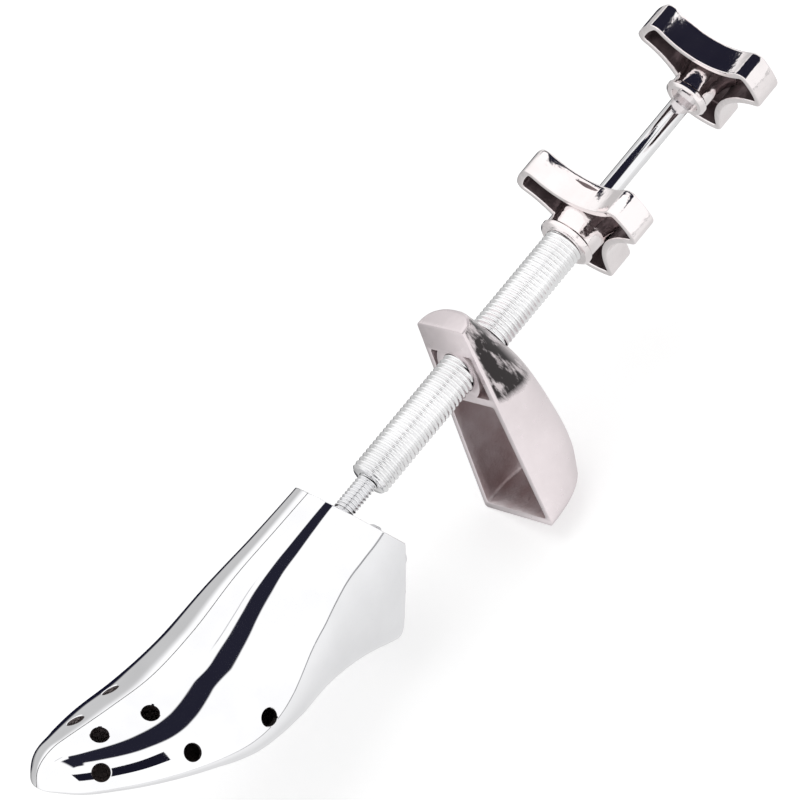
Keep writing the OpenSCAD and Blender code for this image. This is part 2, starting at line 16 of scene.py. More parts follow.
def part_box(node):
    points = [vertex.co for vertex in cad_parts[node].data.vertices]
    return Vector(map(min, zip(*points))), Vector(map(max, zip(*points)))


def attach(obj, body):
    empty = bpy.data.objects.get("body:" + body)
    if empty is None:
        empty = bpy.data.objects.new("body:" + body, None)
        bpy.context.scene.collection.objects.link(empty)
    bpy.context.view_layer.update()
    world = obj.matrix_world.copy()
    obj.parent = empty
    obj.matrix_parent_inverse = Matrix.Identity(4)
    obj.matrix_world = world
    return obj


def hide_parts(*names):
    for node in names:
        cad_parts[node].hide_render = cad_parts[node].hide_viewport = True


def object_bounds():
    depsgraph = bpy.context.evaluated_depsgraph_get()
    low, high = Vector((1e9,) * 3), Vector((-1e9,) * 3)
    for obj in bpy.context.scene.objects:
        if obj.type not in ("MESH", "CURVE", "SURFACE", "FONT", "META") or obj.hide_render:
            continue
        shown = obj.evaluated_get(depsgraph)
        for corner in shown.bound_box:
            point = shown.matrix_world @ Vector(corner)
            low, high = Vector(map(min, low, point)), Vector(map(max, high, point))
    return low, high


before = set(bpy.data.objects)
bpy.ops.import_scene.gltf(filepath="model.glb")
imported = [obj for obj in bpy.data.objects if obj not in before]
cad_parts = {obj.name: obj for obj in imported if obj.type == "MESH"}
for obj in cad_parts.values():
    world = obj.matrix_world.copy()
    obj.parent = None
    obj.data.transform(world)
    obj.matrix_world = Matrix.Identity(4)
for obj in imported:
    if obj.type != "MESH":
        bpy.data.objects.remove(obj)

bl_info = {
    "name": "Two-way shoe stretcher",
    "version": (1, 0, 0),
    "blender": (4, 5, 0),
    "location": "View3D > Sidebar > Stretcher",
    "description": "Builds a chromed two-way shoe stretcher round its solids",
    "category": "Add Mesh",
}

MM = 0.001
CAD_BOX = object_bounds()


def length(name, text, millimetres):
    """A size property in metres."""
    return FloatProperty(name=name, description=text, default=millimetres * MM, unit="LENGTH", precision=5)


def tint(name, text, colour):
    """A colour property."""
    return FloatVectorProperty(name=name, description=text, default=colour, subtype="COLOR", min=0, max=1)


class LastSizes(bpy.types.PropertyGroup):
    """Sizes of the split toe last."""
    long: length("Length", "Length along the sole", 153)
    ball: length("Ball width", "Width of the closed last across the ball", 64)
    instep: length("Instep height", "Height above the sole line at the rear", 72)
    swell: length("Sole swell", "Depth that the sole swells below its line", 13)
    wall: length("Wall", "Thickness of the cast wall", 3)
    seam: length("Seam", "Gap between the two halves", 0.3)
    rim: length("Rim", "Width of the small chamfers at the rim and the holes", 0.35)
    nose: length("Nose", "Length of the rounded toe", 11)
    rear_drop: length("Rear corner", "Depth of the rear corner below the shaft", 14)
    plug_hole: length("Plug holes", "Diameter of the plug holes", 6.6)
    sole_angle: FloatProperty(name="Sole angle", description="Angle of the sole line to the shaft",
                              default=math.radians(30), subtype="ANGLE")
    rear_lean: FloatProperty(name="Rear lean", description="Lean of the upper rear face",
                             default=math.radians(19), subtype="ANGLE")
    facet_lean: FloatProperty(name="Lower rear lean", description="Lean of the lower rear face",
                              default=math.radians(35), subtype="ANGLE")
    points: IntProperty(name="Points", description="Points on half a cross-section", default=52)


class ShaftSizes(bpy.types.PropertyGroup):
    """Sizes of the threaded tube, the rod and the leaf screws."""
    tube_gap: length("Tube gap", "Distance from the last to the tube", 15)
    tube_pitch: length("Tube pitch", "Pitch of the tube's thread", 2.0)
    tube_depth: length("Tube thread depth", "Depth of the tube's thread", 0.85)
    rod_pitch: length("Rod pitch", "Pitch of the rod's thread", 1.5)
    rod_depth: length("Rod thread depth", "Depth of the rod's thread", 0.7)
    rod_thread_back: length("Rod thread", "Length of thread behind the last's rear face", 16)
    screw_head: length("Screw head", "Diameter of the leaf screws' heads", 8.4)
    screw_rise: length("Screw head height", "Height of the leaf screws' heads", 3.2)
    screw_place: length("Screw place", "Distance of the leaf screws from the seam", 14)
    leaf: length("Leaf", "Thickness of the hinge leaves", 1.8)


class KnobSizes(bpy.types.PropertyGroup):
    """Sizes of the two three-lobed knobs."""
    across: length("Diameter", "Circle round the lobes", 59)
    deep: length("Depth", "Depth of the rim walls", 12)
    flank: length("Flank", "Distance of the hollow flanks from the axis", 13.8)
    flank_arc: length("Flank radius", "Radius of the hollow flanks", 27)
    corner: length("Corner radius", "Radius of the lobes' corners", 4)
    wall: length("Wall", "Thickness of the rim walls", 2.8)
    back: length("Back", "Thickness of the back", 3)
    edge: length("Back edge", "Radius of the edge round the back", 1.4)
    rim_edge: length("Rim edge", "Radius of the edges of the rim", 0.45)
    fillet: length("Pocket fillet", "Radius round the pocket's floor", 0.8)
    hub: length("Hub", "Length of the hub in front of the rim", 10.2)
    flare: length("Hub flare", "Flare of the hub at the back", 3.5)


class BlockSizes(bpy.types.PropertyGroup):
    """Sizes of the hollow heel block."""
    front: length("Front", "Distance of the front plate behind the last's rear face", 68.3)
    top: length("Top", "Height above the shaft", 19)
    drop: length("Drop", "Depth below the shaft", 62)
    top_w: length("Top width", "Width at the top", 27.6)
    bottom_w: length("Bottom width", "Width at the bottom", 41)
    deep: length("Depth", "Depth along the shaft", 19)
    wall: length("Wall", "Thickness of the cast wall", 2.6)
    boss: length("Boss", "Diameter of the boss round the tube", 22)
    web: length("Web", "Thickness of the web under the boss", 3)
    edge: length("Edge", "Radius of the outer edges", 1.6)
    lean: FloatProperty(name="Lean", description="Lean of the front plate", default=math.radians(14.7),
                        subtype="ANGLE")
    roll: FloatProperty(name="Roll", description="Turn of the block round the shaft",
                        default=math.radians(14), subtype="ANGLE")


class Finishes(bpy.types.PropertyGroup):
    """Colours of the metals."""
    chrome: tint("Chrome", "Mirror chrome of the last", (0.90, 0.90, 0.915))
    nickel: tint("Nickel", "Polished nickel of the knobs", (0.90, 0.85, 0.85))
    satin: tint("Satin nickel", "Satin nickel of the heel block", (0.80, 0.73, 0.745))
    zinc: tint("Zinc", "Bright zinc of the tube", (0.92, 0.92, 0.925))
    steel: tint("Steel", "Polished steel of the rod", (0.84, 0.84, 0.85))
    plate: tint("Leaf plate", "Plated steel of the hinge leaves", (0.66, 0.66, 0.68))
    brass: tint("Brass", "Turned brass of the cone", (0.78, 0.60, 0.30))
    casting: tint("Casting", "Bare inside of the castings", (0.17, 0.13, 0.125))


class Studio(bpy.types.PropertyGroup):
    """The floor, the light and the camera."""
    eye: FloatVectorProperty(name="Eye", description="Place of the camera", unit="LENGTH",
                             default=(0.602985, 0.869479, 0.961903))
    field: FloatProperty(name="Field", description="Angle of view", default=math.radians(12.12),
                         subtype="ANGLE")
    lamp: FloatProperty(name="Lamp", description="Power of the overhead lamp", default=3.2, unit="POWER")
    floor: length("Floor", "Side of the floor", 6000)


# ---------------------------------------------------------------------------------------------
# Frames
# ---------------------------------------------------------------------------------------------

def colours():
    """The colours of the metals."""
    return bpy.context.scene.finishes


HEEL_SETBACK = 3.7 * MM
CORNER_RISE = 35.6 * MM


def rear_x():
    """Place of the last's rear face on the shaft, from the tube's front end."""
    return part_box("length_tube")[1].x + bpy.context.scene.shaft_sizes.tube_gap


def on_shaft():
    """Frame on the shaft with its origin at the last's rear face."""
    return Matrix.Translation((rear_x(), 0, 0))


def rear_corner():
    """The corner of the two rear faces, beside the shaft."""
    s = bpy.context.scene.last_sizes
    return Vector((-s.rear_drop * math.tan(s.rear_lean), 0, -s.rear_drop))


def sole_frame():
    """Frame of the last: X along its sole and Z up from it."""
    s = bpy.context.scene.last_sizes
    along = Vector((math.cos(s.sole_angle), 0, math.sin(s.sole_angle)))
    up = Vector((-math.sin(s.sole_angle), 0, math.cos(s.sole_angle)))
    heel = rear_corner() + HEEL_SETBACK * along - CORNER_RISE * up
    return on_shaft() @ Matrix.Translation(heel) @ Matrix.Rotation(-s.sole_angle, 4, "Y")


def facet_frame(down=0.0):
    """Frame on the lower rear face: X down the face, Y to the far side and Z out of it."""
    s = bpy.context.scene.last_sizes
    run = Vector((math.sin(s.facet_lean), 0, -math.cos(s.facet_lean)))
    out = Vector((-math.cos(s.facet_lean), 0, -math.sin(s.facet_lean)))
    place = rear_corner() + down * run
    turn = Matrix((run, out.cross(run), out)).transposed().to_4x4()
    return on_shaft() @ Matrix.Translation(place) @ turn


def block_frame():
    """Frame of the heel block, turned round the shaft."""
    return on_shaft() @ Matrix.Rotation(bpy.context.scene.block_sizes.roll, 4, "X")


def knob_frame(x, turn):
    """Frame of a knob: Z along the shaft, its rim at Z = 0 and one lobe turned up from the near side."""
    axes = Matrix(((0, 0, 1), (1, 0, 0), (0, 1, 0))).to_4x4()
    return Matrix.Translation((x, 0, 0)) @ axes @ Matrix.Rotation(math.radians(turn), 4, "Z")


# ---------------------------------------------------------------------------------------------
# Mesh helpers
# ---------------------------------------------------------------------------------------------

def smooth_curve(table, x):
    """Smooth curve through a short list of (place, value) pairs."""
    i = 0
    while i < len(table) - 2 and x >= table[i + 1][0]:
        i += 1

    def slope(k):
        a = max(k - 1, 0)
        b = min(k + 1, len(table) - 1)
        return (table[b][1] - table[a][1]) / (table[b][0] - table[a][0])

    h = table[i + 1][0] - table[i][0]
    u = (x - table[i][0]) / h
    if u < 0:
        return table[0][1] + slope(0) * (x - table[0][0])
    m0 = slope(i) * h
    m1 = slope(i + 1) * h
    rise = table[i + 1][1] - table[i][1]
    return table[i][1] + u * m0 + u * u * (3 * rise - 2 * m0 - m1) + u ** 3 * (m0 + m1 - 2 * rise)


def evenly(points, count, closed=False):
    """The same line with its points evenly spaced."""
    points = np.asarray(points, float)
    if closed:
        points = np.vstack([points, points[:1]])
    steps = np.linalg.norm(np.diff(points, axis=0), axis=1)
    run = np.concatenate([[0], np.cumsum(steps)])
    at = np.linspace(0, run[-1], count + 1)
    if closed:
        at = at[:-1]
    return np.column_stack([np.interp(at, run, points[:, k]) for k in range(points.shape[1])])


def loft(rings):
    """A closed skin through a list of rings of equal count: a grid wrapped round and capped."""
    bm = bmesh.new()
    around = len(rings[0])
    along = len(rings) - 1
    bmesh.ops.create_grid(bm, x_segments=around, y_segments=along, size=1.0)
    for v in bm.verts:
        i = round((v.co.x + 1) / 2 * around) % around
        k = round((v.co.y + 1) / 2 * along)
        v.co = rings[k][i]
    bmesh.ops.remove_doubles(bm, verts=bm.verts, dist=1e-8)
    close(bm)
    return bm


def close(bm):
    """Fills open ends and turns every face outwards."""
    bmesh.ops.holes_fill(bm, edges=[e for e in bm.edges if e.is_boundary], sides=0)
    bmesh.ops.recalc_face_normals(bm, faces=bm.faces)


def lathe(profile, steps=64):
    """A closed solid of revolution about Z from (radius, height) points that end on the axis."""
    bm = bmesh.new()
    verts = [bm.verts.new((r, 0, z)) for r, z in profile]
    edges = [bm.edges.new(pair) for pair in zip(verts, verts[1:])]
    bmesh.ops.spin(bm, geom=verts + edges, cent=(0, 0, 0), axis=(0, 0, 1), angle=math.tau,
                   steps=steps, use_merge=True)
    bmesh.ops.remove_doubles(bm, verts=bm.verts, dist=1e-7)
    close(bm)
    return bm


def rod_between(radius, low, high, chamfer=0.0, steps=48):
    """A cylinder along Z; a positive chamfer flares its upper end outwards, as a countersink."""
    profile = [(0, low), (radius, low), (radius, high - chamfer)]
    if chamfer:
        profile += [(radius + chamfer, high)]
        profile += [(radius + chamfer, high + 2 * MM), (0, high + 2 * MM)]
    else:
        profile += [(radius, high), (0, high)]
    return lathe(profile, steps)


def brick(low, high):
    """A box between two corners."""
    bm = bmesh.new()
    low = Vector(low)
    high = Vector(high)
    bmesh.ops.create_cube(bm, size=1.0)
    size = high - low
    bmesh.ops.scale(bm, vec=size, verts=bm.verts)
    bmesh.ops.translate(bm, vec=(low + high) / 2, verts=bm.verts)
    return bm


def trim(bm, place, outward):
    """Cuts away what lies beyond a plane and closes the cut."""
    geom = bm.verts[:] + bm.edges[:] + bm.faces[:]
    bmesh.ops.bisect_plane(bm, geom=geom, dist=1e-8, plane_co=place, plane_no=outward, clear_outer=True)
    close(bm)


def make(name, bm, matrix=None, material=None):
    """An object from a mesh, with its place in the mesh."""
    if matrix is not None:
        bmesh.ops.transform(bm, matrix=matrix, verts=bm.verts)
    mesh = bpy.data.meshes.new(name)
    bm.to_mesh(mesh)
    bm.free()
    if material:
        mesh.materials.append(material)
    obj = bpy.data.objects.new(name, mesh)
    bpy.context.collection.objects.link(obj)
    mesh.polygons.foreach_set("use_smooth", [True] * len(mesh.polygons))
    return obj


def baked(obj):
    """Gives an object the mesh that its modifiers make, and drops them."""
    graph = bpy.context.evaluated_depsgraph_get()
    result = bpy.data.meshes.new_from_object(obj.evaluated_get(graph))
    obj.modifiers.clear()
    if not len(result.polygons):
        raise RuntimeError(f"nothing is left of {obj.name}")
    before = obj.data
    obj.data = result
    result.name = before.name
    bpy.data.meshes.remove(before)
    return obj


def boolean(obj, tool, operation="DIFFERENCE"):
    """Cuts or joins one closed mesh with another and drops the tool."""
    modifier = obj.modifiers.new("cut", "BOOLEAN")
    modifier.operation = operation
    modifier.object = tool
    modifier.solver = "EXACT"
    modifier.material_mode = "TRANSFER"
    baked(obj)
    used = tool.data
    bpy.data.objects.remove(tool)
    bpy.data.meshes.remove(used)
    return obj


def cut(obj, bm, matrix=None, material=None):
    """Cuts a bmesh out of an object; the cut's faces take the tool's material."""
    return boolean(obj, make("tool", bm, matrix, material or obj.data.materials[0]))


def join(obj, bm, matrix=None):
    """Joins a bmesh to an object as one solid."""
    return boolean(obj, make("tool", bm, matrix, obj.data.materials[0]), "UNION")


def crisp(obj, angle=35):
    """Smooth shading with sharp edges past an angle."""
    obj.data.polygons.foreach_set("use_smooth", [True] * len(obj.data.polygons))
    obj.data.set_sharp_from_angle(angle=math.radians(angle))


def tidy(obj):
    """Merges doubled vertices that cuts leave."""
    bm = bmesh.new()
    bm.from_mesh(obj.data)
    bmesh.ops.remove_doubles(bm, verts=bm.verts, dist=2e-7)
    bmesh.ops.dissolve_degenerate(bm, edges=bm.edges, dist=1e-7)
    bm.to_mesh(obj.data)
    bm.free()


def round_edges(obj, width, angle):
    """A small bevel on the edges sharper than an angle."""
    modifier = obj.modifiers.new("edges", "BEVEL")
    modifier.width = width
    modifier.segments = 2
    modifier.limit_method = "ANGLE"
    modifier.angle_limit = math.radians(angle)
    modifier.use_clamp_overlap = True
    return baked(obj)


class SkinNormals:
    """Shading normals of a smooth skin, read at any point near it."""

    def __init__(self, bm):
        bmesh.ops.triangulate(bm, faces=bm.faces)
        bm.normal_update()
        bm.verts.ensure_lookup_table()
        bm.faces.ensure_lookup_table()
        self.normals = [v.normal.copy() for v in bm.verts]
        self.places = [v.co.copy() for v in bm.verts]
        self.faces = [[v.index for v in f.verts] for f in bm.faces]
        self.tree = BVHTree.FromPolygons(self.places, self.faces)
        bm.free()

    def at(self, point, reach):
        """The skin's normal at a point, or None where the skin is farther than reach."""
        place, _, index, gap = self.tree.find_nearest(point)
        if place is None or gap > reach:
            return None
        a, b, c = self.faces[index]
        pa, pb, pc = self.places[a], self.places[b], self.places[c]
        area = (pb - pa).cross(pc - pa).length
        wa = (pb - place).cross(pc - place).length / area
        wb = (pc - place).cross(pa - place).length / area
        normal = wa * self.normals[a] + wb * self.normals[b] + (1 - wa - wb) * self.normals[c]
        return normal.normalized()


def carry_normals(obj, skin, mirrored=False, reach=4e-5, spread=28):
    """Gives the faces that lie on a skin that skin's own shading, so cuts leave no ripple."""
    mesh = obj.data
    flip = Vector((1, -1, 1)) if mirrored else Vector((1, 1, 1))
    least = math.cos(math.radians(spread))
    custom = [Vector((0, 0, 0))] * len(mesh.loops)
    known = {}
    for face in mesh.polygons:
        for k in face.loop_indices:
            v = mesh.loops[k].vertex_index
            if v not in known:
                known[v] = skin.at(mesh.vertices[v].co * flip, reach)
            found = known[v]
            if found is not None and (found * flip).dot(face.normal) > least:
                custom[k] = found * flip
    mesh.normals_split_custom_set(custom)


# ---------------------------------------------------------------------------------------------
# Metals
# ---------------------------------------------------------------------------------------------

class Tree:
    """A short hand for building a node tree."""

    def __init__(self, tree):
        self.tree = tree
        self.tree.nodes.clear()

    def add(self, kind):
        return self.tree.nodes.new(f"ShaderNode{kind}")

    def link(self, a, b):
        self.tree.links.new(a, b)

    def give(self, value, socket):
        """Sets a socket's number or links another socket to it."""
        if isinstance(value, bpy.types.NodeSocket):
            self.link(value, socket)
        else:
            socket.default_value = value

    def span(self, value, low, high, to_low, to_high, smooth=False):
        """Maps a value from one span to another, clamped."""
        node = self.add("MapRange")
        if smooth:
            node.interpolation_type = "SMOOTHSTEP"
        for k, number in enumerate((value, low, high, to_low, to_high)):
            self.give(number, node.inputs[k])
        return node.outputs[0]

    def math(self, operation, a, b=0.0):
        """One arithmetic step; each operand is a number or a socket."""
        node = self.add("Math")
        node.operation = operation
        self.give(a, node.inputs[0])
        self.give(b, node.inputs[1])
        return node.outputs[0]

    def product(self, first, *factors):
        """All the factors multiplied."""
        for factor in factors:
            first = self.math("MULTIPLY", first, factor)
        return first

    def dot(self, vector, direction):
        """Distance of a vector along a direction."""
        node = self.add("VectorMath")
        node.operation = "DOT_PRODUCT"
        self.link(vector, node.inputs[0])
        node.inputs[1].default_value = direction
        return node.outputs["Value"]


class Metal(Tree):
    """One material's nodes, laid out in Object coordinates."""

    def __init__(self, name):
        self.material = bpy.data.materials.get(name) or bpy.data.materials.new(name)
        self.material.use_nodes = True
        super().__init__(self.material.node_tree)
        self.out = self.add("OutputMaterial")
        self.shader = self.add("BsdfPrincipled")
        self.link(self.shader.outputs[0], self.out.inputs["Surface"])
        self.place = self.add("TexCoord").outputs["Object"]

    def set(self, **values):
        """Sets the shader's own sockets."""
        names = {"colour": "Base Color", "metal": "Metallic", "rough": "Roughness"}
        for key, value in values.items():
            socket = self.shader.inputs[names[key]]
            socket.default_value = (*value, 1) if key == "colour" else value

    def noise(self, scale, detail=3.0, roughness=0.5, stretch=None):
        """Noise; scale is in waves a metre."""
        place = self.place
        if stretch:
            mapping = self.add("Mapping")
            mapping.inputs["Scale"].default_value = stretch
            self.link(place, mapping.inputs["Vector"])
            place = mapping.outputs["Vector"]
        node = self.add("TexNoise")
        for key, value in (("Scale", scale), ("Detail", detail), ("Roughness", roughness), ("Vector", place)):
            self.give(value, node.inputs[key])
        return node.outputs["Fac"]

    def mix(self, factor, a, b):
        """Mixes two colours; each is a colour or a socket."""
        node = self.add("Mix")
        node.data_type = "RGBA"
        self.link(factor, node.inputs[0])
        for value, socket in ((a, node.inputs[6]), (b, node.inputs[7])):
            self.give(value if isinstance(value, bpy.types.NodeSocket) else (*value, 1), socket)
        return node.outputs[2]

    def cloudy(self, scale, detail, low, high):
        """Noise spread from one value to another."""
        return self.span(self.noise(scale, detail), 0.3, 0.7, low, high)

    def bump(self, height, depth, previous=None):
        """Raises the surface by a height; depth is in metres."""
        node = self.add("Bump")
        node.inputs["Strength"].default_value = 1.0
        node.inputs["Distance"].default_value = depth
        self.link(height, node.inputs["Height"])
        if previous:
            self.link(previous, node.inputs["Normal"])
        self.link(node.outputs[0], self.shader.inputs["Normal"])
        return node.outputs[0]


def shade(colour, k):
    """A colour made lighter or darker."""
    return tuple(c * k for c in colour)


def plated(name, colour, rough, wave=0.0, grain=0.0, dull=0.0):
    """Plated metal: slight waves in the polish, fine grain, and a little colour from handling."""
    n = Metal(name)
    n.set(metal=1.0)
    cloud = n.noise(55, 4)
    n.link(n.mix(n.span(cloud, 0.35, 0.7, 0, 1), colour, shade(colour, 1 - 0.06 - dull)),
           n.shader.inputs["Base Color"])
    smear = n.noise(160, 5, 0.6)
    n.link(n.span(smear, 0.3, 0.75, rough * 0.7, rough * 1.5), n.shader.inputs["Roughness"])
    before = None
    if wave:
        before = n.bump(n.noise(70, 1), wave)
    if grain:
        n.bump(n.noise(2600, 3), grain, before)
    return n


def mirror_chrome():
    """Mirror chrome of the last."""
    return plated("mirror_chrome", colours().chrome, 0.035, wave=0.00004).material


def polished_nickel():
    """Polished nickel on the knobs, crinkled where the die casting shows through."""
    n = plated("polished_nickel", colours().nickel, 0.09, dull=0.05)
    first = n.bump(n.noise(190, 2, 0.5), 0.00022)
    n.bump(n.noise(900, 3), 0.00003, first)
    return n.material


def satin_nickel():
    """Satin nickel on the heel block, glossy high on its near side, with streaks of painted dark reflection
    there.
    """
    colour = colours().satin
    n = Metal("satin_nickel")
    n.set(metal=1.0)
    streak = n.noise(220, 5, 0.6, stretch=(1, 1, 0.18))
    gloss_and_painted_reflection = gloss_and_painted_reflection_zone(n, streak)
    satin = n.cloudy(420, 4, 0.27, 0.38)
    n.link(n.math("ADD", n.math("MULTIPLY", gloss_and_painted_reflection, -0.20), satin), n.shader.inputs["Roughness"])
    patch = n.span(n.noise(38, 4), 0.35, 0.7, 0, 1)
    body = n.mix(patch, colour, shade(colour, 0.88))
    # Painted reflection: along the streaks in the glossy zone the colour falls almost to black, standing in
    # for dark reflections.
    dark = n.math("MULTIPLY", gloss_and_painted_reflection, n.span(streak, 0.50, 0.60, 1, 0.3))
    n.link(n.mix(dark, body, shade(colour, 0.05)), n.shader.inputs["Base Color"])
    first = n.bump(n.noise(240, 2), 0.00007)
    n.bump(n.noise(3000, 2), 0.000012, first)
    return n.material


def gloss_and_painted_reflection_zone(n, streak):
    """Where the heel block is glossy and carries its painted dark reflections: high on its near side, behind
    the front plate and below the cap.
    """
    s = bpy.context.scene.block_sizes
    turn = block_frame().to_3x3()
    widening = (s.bottom_w - s.top_w) / 2 / (s.top + s.drop)
    edge = s.top_w / 2 + widening * s.top
    front = rear_x() - s.front
    slope = 0.38
    lower = -6 * MM - slope * front
    near = n.span(n.dot(n.place, turn @ Vector((0, 1, widening))), edge - 9 * MM, edge - 3 * MM, 0, 1)
    behind = n.span(n.dot(n.place, (-1, 0, -math.tan(s.lean))), 0.2 * MM - front, 0.8 * MM - front, 0, 1)
    below_cap = n.span(n.dot(n.place, turn @ Vector((0, 0, 1))), s.top - 1.5 * MM, s.top - 0.7 * MM, 1, 0)
    height = n.math("ADD", n.dot(n.place, (-slope, 0, 1)), n.math("MULTIPLY", streak, 6 * MM))
    return n.product(near, behind, n.span(height, lower, lower + 3 * MM, 0, 1), below_cap)


def bright_zinc():
    """Bright zinc on the threaded tube."""
    return plated("bright_zinc", colours().zinc, 0.16, grain=0.000006, dull=0.06).material


def rod_steel():
    """Polished steel of the rod, with faint turning lines."""
    n = plated("rod_steel", colours().steel, 0.07)
    n.bump(n.noise(900, 2, stretch=(1, 0.02, 0.02)), 0.000005)
    return n.material


def leaf_steel():
    """Plated sheet steel of the hinge leaves and pin."""
    return plated("leaf_steel", colours().plate, 0.24, grain=0.00001, dull=0.08).material


def bright_screw():
    """Bright plating of the leaf screws."""
    return plated("bright_screw", shade(colours().chrome, 0.97), 0.08, grain=0.000003).material


def turned_brass():
    """Turned brass of the wedge cone."""
    n = plated("turned_brass", colours().brass, 0.2, dull=0.08)
    n.bump(n.noise(1500, 2, stretch=(1, 0.02, 0.02)), 0.00001)
    return n.material


def plain_steel():
    """Plain machined steel of the hidden pieces."""
    return plated("plain_steel", shade(colours().plate, 0.9), 0.3, grain=0.00001, dull=0.1).material


def dark_steel():
    """Blackened steel of the clip and the set screw, laid also on the walls of the leaf screws' recesses and
    of the bores as painted shade.
    """
    return plated("dark_steel", (0.16, 0.16, 0.17), 0.35, grain=0.00001, dull=0.1).material


def bare_casting():
    """Rough unplated inside of a hollow casting."""
    colour = colours().casting
    n = Metal("bare_casting")
    n.set(metal=0.55)
    n.link(n.mix(n.span(n.noise(240, 4), 0.35, 0.7, 0, 1), colour, shade(colour, 0.6)),
           n.shader.inputs["Base Color"])
    n.link(n.cloudy(500, 3, 0.45, 0.75), n.shader.inputs["Roughness"])
    n.bump(n.noise(900, 4), 0.00025)
    return n.material


def plug_bore():
    """Rough drilled wall of the plug holes."""
    n = plated("plug_bore", (0.42, 0.37, 0.37), 0.4, dull=0.2)
    n.bump(n.noise(1500, 4), 0.0002)
    return n.material


def block_inside():
    """Thinly plated inside of the heel block: a mauve brown."""
    colour = shade(colours().satin, 0.78)
    n = Metal("block_inside")
    n.set(metal=0.85)
    n.link(n.mix(n.span(n.noise(60, 4), 0.35, 0.7, 0, 1), colour, (0.42, 0.32, 0.32)),
           n.shader.inputs["Base Color"])
    n.link(n.cloudy(420, 3, 0.34, 0.5), n.shader.inputs["Roughness"])
    n.bump(n.noise(700, 3), 0.00012)
    return n.material


def knob_pocket():
    """Pocket of a knob, where the plating is thin and dark."""
    n = Metal("knob_pocket")
    n.set(metal=0.8)
    n.link(n.mix(n.span(n.noise(120, 4), 0.35, 0.7, 0, 1), (0.20, 0.155, 0.16), (0.10, 0.075, 0.08)),
           n.shader.inputs["Base Color"])
    n.link(n.cloudy(420, 3, 0.3, 0.5), n.shader.inputs["Roughness"])
    n.bump(n.noise(500, 3), 0.0002)
    return n.material


# ---------------------------------------------------------------------------------------------
# Toe last
# ---------------------------------------------------------------------------------------------

WIDTH_CURVE = ((0, 0.69), (0.13, 0.734), (0.26, 0.844), (0.39, 0.969), (0.52, 1),
               (0.65, 0.938), (0.78, 0.797), (0.90, 0.547), (0.98, 0.313))
TOP_CURVE = ((0, 1), (0.13, 0.857), (0.26, 0.71), (0.39, 0.562), (0.52, 0.379),
             (0.65, 0.243), (0.78, 0.181), (0.90, 0.139), (0.98, 0.111))
SOLE_CURVE = ((0, 0.5), (0.13, 0.385), (0.26, 0.43), (0.39, 0.78), (0.52, 1),
              (0.65, 0.84), (0.78, 0.68), (0.90, 0.55), (0.98, 0.43))
RIDGE_CURVE = ((0, 2.49), (0.25, 1.8), (0.5, 1.53), (0.98, 1.62))
EDGE_POWER = 3.2
WIDEST = 0.16
NOSE_FLATTEN = 0.7
NOSE_RINGS = 16
LOFT_START = -16 * MM
SKIN_STEP = 1.0 * MM
HOLLOW_STEP = 3 * MM
HOLLOW_POINTS = 28
SMOOTHINGS = 3
RIM_REACH = 30 * MM
ROD_WAY = 5.6 * MM
HINGE_SLOT = (2.2 * MM, 9.6 * MM, 5.6 * MM)
HOLE_DEPTH = 4.6 * MM
HOLE_STEPS = 64
PLUG_HOLES = ((0.846, 23), (0.719, 28.5), (0.893, 61), (0.686, 68), (0.477, 74))


def section_sizes(x, inset):
    """Half-width, widest level, height above it, depth below it and ridge power of a cross-section."""
    s = bpy.context.scene.last_sizes
    share = min(x, 0.98 * s.long) / s.long
    top = s.instep * smooth_curve(TOP_CURVE, share) - inset
    low = -s.swell * smooth_curve(SOLE_CURVE, share) + inset
    middle = low + (top - low) * WIDEST
    width = s.ball / 2 * smooth_curve(WIDTH_CURVE, share) - inset
    return width, middle, top - middle, middle - low, smooth_curve(RIDGE_CURVE, max(share, 0))


def skin_point(x, angle):
    """A point of the near skin at a distance along the sole and an angle in degrees from the ridge."""
    width, middle, up, down, power = section_sizes(x, 0)
    if angle <= 90:
        a = math.radians(angle)
        return Vector((x, width * math.sin(a) ** (2 / power),
                       middle + up * max(math.cos(a), 0) ** (2 / power)))
    a = math.radians(angle - 90)
    return Vector((x, width * max(math.cos(a), 0) ** (2 / EDGE_POWER),
                   middle - down * math.sin(a) ** (2 / EDGE_POWER)))


def last_section(x, inset, squeeze, half):
    """Closed outline of a cross-section, evenly spaced from the ridge round."""
    width, middle, up, down, power = section_sizes(x, inset)
    flat = squeeze ** NOSE_FLATTEN
    a = np.linspace(0, math.pi / 2, 400)
    above = np.column_stack([width * squeeze * np.sin(a) ** (2 / power),
                             middle + up * flat * np.abs(np.cos(a)) ** (2 / power)])
    below = np.column_stack([width * squeeze * np.abs(np.cos(a)) ** (2 / EDGE_POWER),
                             middle - down * flat * np.sin(a) ** (2 / EDGE_POWER)])
    below[-1, 0] = 0
    side = evenly(np.vstack([above, below[1:]]), half)
    ring = np.vstack([side, side[-2:0:-1] * (-1, 1)])
    return np.column_stack([np.full(len(ring), x), ring])


def last_loft(inset, half, step):
    """The whole last as one smooth closed skin, in its own frame."""
    s = bpy.context.scene.last_sizes
    straight = s.long - s.nose - inset
    run = straight - LOFT_START
    count = round(run / step)
    rings = [last_section(LOFT_START + run * i / count, inset, 1.0, half) for i in range(count)]
    for i in range(NOSE_RINGS + 1):
        a = math.radians(88.5 * i / NOSE_RINGS)
        rings.append(last_section(straight + s.nose * math.sin(a), inset, math.cos(a), half))
    return loft(rings)


def rear_planes(inset=0.0):
    """The two rear faces as (place, outward direction) in the row frame, drawn in by an inset."""
    s = bpy.context.scene.last_sizes
    place = on_shaft() @ rear_corner()
    upper = Vector((-math.cos(s.rear_lean), 0, math.sin(s.rear_lean)))
    lower = Vector((-math.cos(s.facet_lean), 0, -math.sin(s.facet_lean)))
    return [(place - inset * n, n) for n in (upper, lower)]


